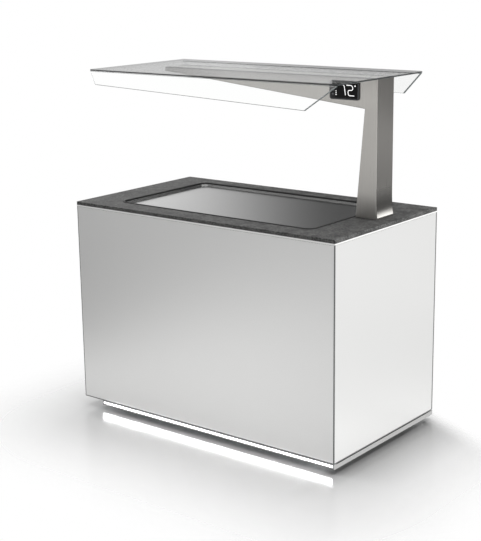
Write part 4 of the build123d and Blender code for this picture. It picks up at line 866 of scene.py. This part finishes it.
skirt_height, skirt_proud, skirt_power, skirt_margin = 120.0, 0.15, 2.5, 1.0
skirt_fall = np.linspace(0, 1, 20)
skirt_spread = skirt_proud + (shell_high[0] - post_right - skirt_proud) * skirt_fall ** skirt_power
skirt_curve = np.stack([post_right + skirt_spread, shell_low[2] + skirt_height * (1 - skirt_fall)], axis=1)
skirt_back = [(post_right - skirt_margin, shell_low[2] + rise) for rise in (0.0, skirt_height)]
skirt_loop = np.concatenate([skirt_curve, skirt_back])
skirt_depths = np.linspace(shell_low[1] + skirt_margin, shell_high[1] - skirt_margin, 6)
skirt_grid = np.stack([np.insert(skirt_loop, 1, depth, axis=1) for depth in skirt_depths])
polish_share = 0.45


def skirt_finish():
    """The post's brushed steel, polished more and more towards the foot: the shine follows the height."""
    material, tree, shader, place = start_finish("drawn_skirt_steel", METAL)
    height = add_node(tree, "SeparateXYZ", {0: place}).outputs["Z"]
    lowest, highest = (shell_low[2] + skirt_height * np.array([polish_share, 1.0])) * MILLIMETRE
    share = add_node(tree, "MapRange", {"Value": height, "From Min": lowest, "From Max": highest})
    drive(tree, shader, noise_of(tree, place, 3.0, up_the_post), ("#b0aeaa", "#bbb9b5"), (0.08, 0.285), 0.001,
          shine_value=share)
    return material


make_piece("post_skirt", [solid_of(skirt_grid, ends=1)], "post_steel",
           coats=[skirt_finish(), finishes["post_steel"]])

# %% [markdown]
# ## Tape on the arm
# Through the tinted glass the top of the arm looks almost as pale as the background. Glass is bonded to steel
# on foam tape with a strip of sealant at each side, so a low pad with soft edges lies between the strips. Its
# white colour is a painted highlight, which stands in for the pale shine on the arm's top.

# %% Lay the tape
bond_low, bond_high = millimetres("glass_bond")
bond_strip, tape_gap, tape_radius = 10.0, 1.5, 4.0
tape_edge, tape_sunk = 0.6, 0.2
tape_inset = bond_strip + tape_gap
tape_outline = rectangle(bond_low + tape_inset, bond_high - tape_inset, tape_radius)
tape_shoulder = quarter(tape_edge, 0, tape_edge, bond_high[2] - tape_sunk - tape_edge)
tape_grid = carry(tape_outline, with_lands([(0.0, bond_low[2]), *tape_shoulder]))
# The tape's white is a painted highlight for the shine on the arm's top; the pad itself is the bond's tape.
tape_with_painted_highlight = grained_finish("foam_tape_painted_highlight", ("#e6e6e3", "#f0f0ed"), 2.5, (0.6, 0.75), 0.05)
make_piece("arm_top_tape", [solid_of(tape_grid)], "grey_plastic", coats=[tape_with_painted_highlight])

# %% [markdown]
# ## Glass panes
# A pane is a flat outline with a small polished arris all round. The top lies flat on the arm. The two flaps
# hang from its long edges and lean outwards by 30 degrees, and their lower edges run down towards the post.
# The lower edge and the right end of each flap, and the front and right edges of the top, get the dark edge
# finish. The back and left edges of the top show no line in the photograph, so they are clear. The right end
# of each flap is also ground to a wide bevel on the inside, where the glass is frosted grey, and the left end
# and the bonded edge are frosted too. Panes let lamps through, so they cast no shadow.

# %% Set the panes
glass_low, glass_high = millimetres("top_glass")
top_arris, top_radius = 2.0, 3.0
flap_lean = radians(30)
flap_thickness, flap_arris = 6.0, 0.5
flap_bevel_width, flap_bevel_depth = 6.0, 3.0
flap_left = (glass_low[0] + 53.0, glass_low[2] - 49.0)
flap_right = (glass_high[0] - 106.0, glass_low[2] - 87.0)
frosted_glass = grained_finish("frosted_glass_bevel", ("#777d7d", "#868c8c"), 3.0, (0.5, 0.6), 0.02)


def set_pane(name, surface, slot, node):
    """One pane that casts no shadow; its finishes are 0 clear glass, 1 dark edge and 2 frosted."""
    pane = make_piece(name, [surface], slot, [node], [finishes[slot], glass_edges[slot], frosted_glass])
    pane.visible_shadow = False


top_outline = rectangle(glass_low, glass_high, top_radius, steps=4)
top_depth = glass_high[2] - glass_low[2]
top_edge = with_lands([(top_arris, -top_depth), (0.0, top_arris - top_depth), (0.0, -top_arris),
                       (top_arris, 0.0)])
top_sides = np.roll(top_outline, -1, axis=0) - top_outline
front_and_right = (top_sides.sum(axis=1) > 0).astype(int)
middle_row = np.array([0, 0, 1, 0, 0])[:, None]
top_surface = solid_of(carry(top_outline, top_edge), origin=(0, 0, glass_high[2]),
                       band=middle_row * front_and_right)
set_pane("top_pane", top_surface, "top_glass", "top_glass")


def flap_pane(name, node, side):
    """A flap on the front (side -1) or the back (side 1), turned so that out points away from the counter."""
    low, high = millimetres(node)
    hinge = high[2]
    across = np.array([-side, 0, 0], float)
    upslope = np.array([0, -side * sin(flap_lean), cos(flap_lean)])
    turn = np.stack([across, upslope, np.cross(across, upslope)])
    drops = [(x, (height - hinge) / cos(flap_lean)) for x, height in (flap_left, flap_right)]
    corners = np.array([*drops, (high[0], 0.0), (low[0], 0.0)]) * (-side, 1)
    outline = corners if side < 0 else corners[::-1]
    sides = np.roll(outline, -1, axis=0) - outline
    steep = abs(sides[:, 1]) > abs(sides[:, 0]) / 2
    right_end = (steep & (sides[:, 1] * side < 0)).astype(int)
    lower_edge = (~steep & (outline[:, 1] < 0)).astype(int)
    bevel = np.where(right_end, flap_bevel_width, flap_arris)
    corner_depth = np.where(right_end | np.roll(right_end, 1), flap_bevel_depth, flap_arris)
    profile = [(bevel + flap_arris, -flap_thickness), (bevel, -flap_thickness),
               (0.0, corner_depth - flap_thickness), (0.0, -flap_arris), (flap_arris, 0.0),
               (2 * flap_arris, 0.0)]
    clear = 0 * right_end
    edge_finishes = np.stack([clear, 2 * right_end, 2 - right_end - lower_edge, clear, clear])
    bonded_edge = (high if side < 0 else low)[1]
    origin = (0, bonded_edge + side * flap_thickness / cos(flap_lean), hinge)
    surface = solid_of(carry(outline, profile), turn, origin, band=edge_finishes)
    set_pane(name, surface, "flap_glass", node)


flap_pane("front_flap_pane", "front_flap", -1)
flap_pane("rear_flap_pane", "rear_flap", 1)

# %% [markdown]
# ## Light strip
# The opal cover is an extruded bar with softened edges, held in a thin frame of grey plastic. Both are
# rectangles carried through a profile: the bar through a rounded edge, the frame through a closed loop.

# %% Make the opal cover
opal_low, opal_high = face_frame("light_cover", "front")
opal_outline = rectangle(opal_low, opal_high)
opal_depth = opal_high[2] - opal_low[2]
opal_face = opal_high[2] * facing["front"][2]
opal_round, opal_sunk = 1.5, 0.5
lip_width, lip_outer_edge, lip_inner_edge = 4.5, 0.5, 0.4
# Dull foamed plastic: almost no shine, so that it stays dark beside the light.
frame_plastic = grained_finish("foamed_grey_plastic", ("#88898a", "#949596"), 1.5, (0.7, 0.8), 0.03,
                               constants=NO_SHINE)
opal_shoulder = quarter(opal_round, 0, lip_width + opal_round, -opal_sunk - opal_round)
opal_grid = carry(opal_outline, with_lands([(lip_width, -opal_depth), *opal_shoulder]))
opal_bar = make_piece("opal_light_bar", [solid_of(opal_grid, facing["front"], opal_face)], "light_opal",
                      ["light_cover"])
opal_bar.visible_diffuse = False
lip_profile = [(0.0, -opal_depth), (0.0, -lip_outer_edge), (lip_outer_edge, 0.0),
               (lip_width - lip_inner_edge, 0.0), (lip_width, -lip_inner_edge), (lip_width, -opal_depth)]
lip_surface = ring_of(carry(opal_outline, lip_profile), facing["front"], opal_face)
make_piece("light_bar_frame", [lip_surface], "grey_plastic", coats=[frame_plastic])

# %% [markdown]
# ## Controller
# The controller is a black moulded frame with a smoked window, three keys beside it and the temperature in
# thin glowing figures. A raised bead runs round the frame. Figures and key marks are flat ribbons: a path on
# the face, widened to both sides and given a small thickness.

# %% Bead round the controller
def ribbon(path, width, low, high):
    """A flat strip along a path: each point moves half the width to both sides, square to the path.

    Rows follow the path, and the four columns are the corners of the strip's section.
    """
    path = np.asarray(path, float)
    along = unit(np.gradient(path, axis=0))
    side = np.stack([-along[:, 1], along[:, 0]], axis=1) * width / 2
    corners = [(-1, low), (1, low), (1, high), (-1, high)]
    return np.stack([np.insert(path + sign * side, 2, height, axis=1) for sign, height in corners], axis=1)


case_low, case_high = face_frame("controller_case", "front")
case_radius = 9.0
bead_width, bead_rise, bead_sunk = 5.0, 1.2, 1.0
bead_foot = case_high[2] - bead_sunk
bead_profile = [(0.0, bead_foot), *half_round(bead_width, case_high[2], bead_rise, steps=7),
                (bead_width, bead_foot)]
bead_black = grained_finish("satin_black_bead", ("#37383a", "#444547"), 3.0, (0.3, 0.4), 0.01)
bead_grid = carry(rectangle(case_low, case_high, case_radius, steps=10), bead_profile)
make_piece("controller_bead", [ring_of(bead_grid, facing["front"])], "controller_black", coats=[bead_black])

# %% [markdown]
# The figures lean back a little, as those of the photograph do. The one is a bent line, the two is one line
# through three rounded corners, and the degree mark is a small ring. Three short signs stand beside the keys.

# %% Glowing figures
figure_low, figure_high = face_frame("display_digits", "front")
figure_width, degree_width = 2.6, 2.4
figure_back_lean = tan(radians(9))


def circle_part(centre, radius, start, stop, steps=16):
    """Points on an ellipse from one angle to another, in degrees; the two radii are across and up."""
    angles = np.radians(np.linspace(start, stop, steps))
    return np.asarray(centre) + np.stack([radius[0] * np.cos(angles), radius[1] * np.sin(angles)], axis=1)


def leaning(path):
    """A path set on the lower left corner of the figures and leant back by its own height."""
    path = np.asarray(path, float)
    return np.stack([path[:, 0] - path[:, 1] * figure_back_lean, path[:, 1]], axis=1) + figure_low[:2]


one = [(38.0, 40.5), (41.0, 39.5), (43.5, 35.5), (43.5, 20.0), (43.5, 3.0)]
two = np.concatenate([
    [(54.0, 41.0)], circle_part((72.0, 31.5), (9.0, 9.5), 90, -90),
    circle_part((65.0, 14.0), (8.0, 8.0), 90, 180), circle_part((63.0, 8.0), (6.0, 6.0), 180, 270),
    [(83.0, 2.0)]])
degree = circle_part((92.5, 39.0), (1.6, 1.6), 0, 345)
signs = [[(end + rise * figure_back_lean, rise) for end in (-2.0, 2.5)] for rise in (3.0, 10.0, 17.0)]
strokes = [(one, figure_width), (two, figure_width), (degree, degree_width)]
strokes += [(sign, figure_width) for sign in signs]
figures = [solid_of(ribbon(leaning(path), width, figure_low[2], figure_high[2]), facing["front"])
           for path, width in strokes]
make_piece("display_figures", figures, "display_white", ["display_digits"])

# %% [markdown]
# Each key is a round rubber cap with a shallow crown, so its outline is carried up and then inwards along a
# parabola. A printed mark lies on each: up, set and down.

# %% Key caps
key_radius, key_shoulder, key_fall, key_flat = 4.6, 1.2, 0.8, 0.4
mark_width, mark_sunk, mark_proud = 0.9, 0.6, 0.1
key_mark = grained_finish("printed_key_mark", ("#9a9c9f", "#aeb0b2"), 1.0, (0.5, 0.6), 0.0)
key_marks = {
    "key_upper": [(-2.0, -1.0), (0.0, 1.3), (2.0, -1.0)],
    "key_middle": circle_part((0.0, 0.0), (1.7, 1.7), 0, 345),
    "key_lower": [(-2.0, 1.0), (0.0, -1.3), (2.0, 1.0)],
}


def key_cap(node, mark):
    """A crowned round cap: it falls from the crown by the square of the distance from the middle."""
    low, high = face_frame(node, "front")
    insets = np.linspace(key_shoulder / 2, key_radius - key_flat, 7)
    crown = high[2] - key_fall * ((key_radius - insets) / key_radius) ** 2
    profile = [(0.0, low[2]), (0.0, high[2] - key_shoulder), *zip(insets, crown)]
    cap = solid_of(carry(rectangle(low, high, key_radius, steps=8), profile), facing["front"])
    spot = np.asarray(mark) + (low[:2] + high[:2]) / 2
    sign = ribbon(spot, mark_width, high[2] - mark_sunk, high[2] + mark_proud)
    surfaces = [cap, solid_of(sign, facing["front"], band=1, ends=1)]
    make_piece(node + "_cap", surfaces, "key_grey", [node], [finishes["key_grey"], key_mark], body=node)


for node, mark in key_marks.items():
    key_cap(node, mark)

# %% [markdown]
# ## Louvres of the service door
# Warm air leaves through two columns of slots in the door. On a real door each slot is a louvre: the sheet
# above it is slit and pressed outwards into a hood that is open below. Along the slot the hood swells and
# dies away like a superellipse, and down the sheet it rises like a quarter of a sine. All 28 hang on the
# door and turn with it.

# %% Press the louvres
door_low, door_high = millimetres("service_door")
louvre_columns, louvre_rows = 2, 14
louvre_pitch = (250.0, 21.0)
louvre_middle = door_low[[0, 2]] + (280.75, 138.0)
louvre_length, slot_height = 220.0, 7.0
hood_drop, hood_rise, hood_sheet, hood_lap = 8.5, 4.5, 0.8, 2.0
hood_proud, hood_sunk = 0.1, 0.4


def louvre_hood(middle):
    """One hood: its height is rise times the fourth root of (1 - u^4) times sin v, u along and v down it."""
    u = np.linspace(-1, 1, 13)[:, None]
    v = np.linspace(0, pi / 2, 6)[None]
    swell = np.maximum(1 - u ** 4, 0.0) ** 0.25
    outer = hood_proud + hood_rise * swell * np.sin(v)
    inner = np.maximum(outer - hood_sheet, -hood_sunk)
    across = middle[0] + u * (louvre_length / 2 + hood_lap) + 0 * v
    height = middle[1] + slot_height / 2 + hood_drop * (1 - v / (pi / 2)) + 0 * u
    out_side = np.stack([across, door_high[1] + outer, height], axis=2)
    in_side = np.stack([across, door_high[1] + inner, height], axis=2)
    return solid_of(np.concatenate([out_side, in_side[:, ::-1]], axis=1))


columns = louvre_middle[0] + louvre_pitch[0] * (np.arange(louvre_columns) - (louvre_columns - 1) / 2)
rows = louvre_middle[1] + louvre_pitch[1] * (np.arange(louvre_rows) - (louvre_rows - 1) / 2)
hoods = [louvre_hood((column, row)) for column in columns for row in rows]
make_piece("door_louvre_hoods", hoods, "panel_lacquer", body="service_door")

# %% [markdown]
# ## Screws at the back
# The rear panel and the cover of the post are held by pan-head screws, so that the unit can be reached. A
# head is a circle carried up and in along an arc, with two crossed ribbons for its recess. The ribbons stand
# a little proud of the crown and are coloured dark as painted shadow, where the recess's shade would fall.

# %% Drive the screws
rear_low, rear_high = millimetres("rear_panel")
cover_back = millimetres("post_cover")[1][1]
panel_screw_radius, cover_screw_radius = 4.0, 3.0
head_rise, recess_reach, recess_width = 0.45, 0.55, 0.25
head_turn = 0.85 * pi / 2
head_sunk, recess_proud = 0.5, 0.05
# Painted shadow: a dark colour on the ribbons that stands for the shade in the screw's recess.
recess_painted_shadow = grained_finish("screw_recess_painted_shadow", ("#1b1c1d", "#28292b"), 1.0, (0.6, 0.7), 0.0)


def screw_head(spot, face, radius):
    """A pan head on a face that looks backwards: spot is its x and z, and face the face's own y.

    Its rise, and the length and width of its recess, are shares of the radius.
    """
    spot = np.array([-spot[0], spot[1]])
    crown = face + head_rise * radius
    turns = np.linspace(0, head_turn, 6)
    dome = np.stack([radius * (1 - np.cos(turns)), face + head_rise * radius * np.sin(turns)], axis=1)
    edge = circle_part(spot, (radius, radius), 0, 330, steps=12)
    surfaces = [solid_of(carry(edge, [(0.0, face - head_sunk), *dome]), facing["back"])]
    for reach in recess_reach * radius * np.eye(2):
        slit = ribbon([spot - reach, spot + reach], recess_width * radius, crown - head_sunk,
                      crown + recess_proud)
        surfaces.append(solid_of(slit, facing["back"], band=1, ends=1))
    return surfaces


def drive_screws(name, spots, face, radius):
    """All the screws of one face as one piece."""
    heads = [surface for spot in spots for surface in screw_head(spot, face, radius)]
    make_piece(name, heads, "foot_steel", coats=[finishes["foot_steel"], recess_painted_shadow])


edge_gap = 16.0
screw_heights = np.linspace(rear_low[2] + edge_gap, rear_high[2] - edge_gap, 4)
rear_spots = [(x, z) for x in (rear_low[0] + edge_gap, rear_high[0] - edge_gap) for z in screw_heights]
rear_spots += [((rear_low[0] + rear_high[0]) / 2, z) for z in screw_heights[[0, -1]]]
drive_screws("rear_panel_screws", rear_spots, rear_high[1], panel_screw_radius)
cover_spots = [(503.0, 922.0), (568.0, 922.0), (545.0, 1110.0), (550.0, 1300.0),
               (300.0, 1412.0), (60.0, 1415.0), (-190.0, 1420.0), (-440.0, 1426.0)]
drive_screws("post_cover_screws", cover_spots, cover_back, cover_screw_radius)
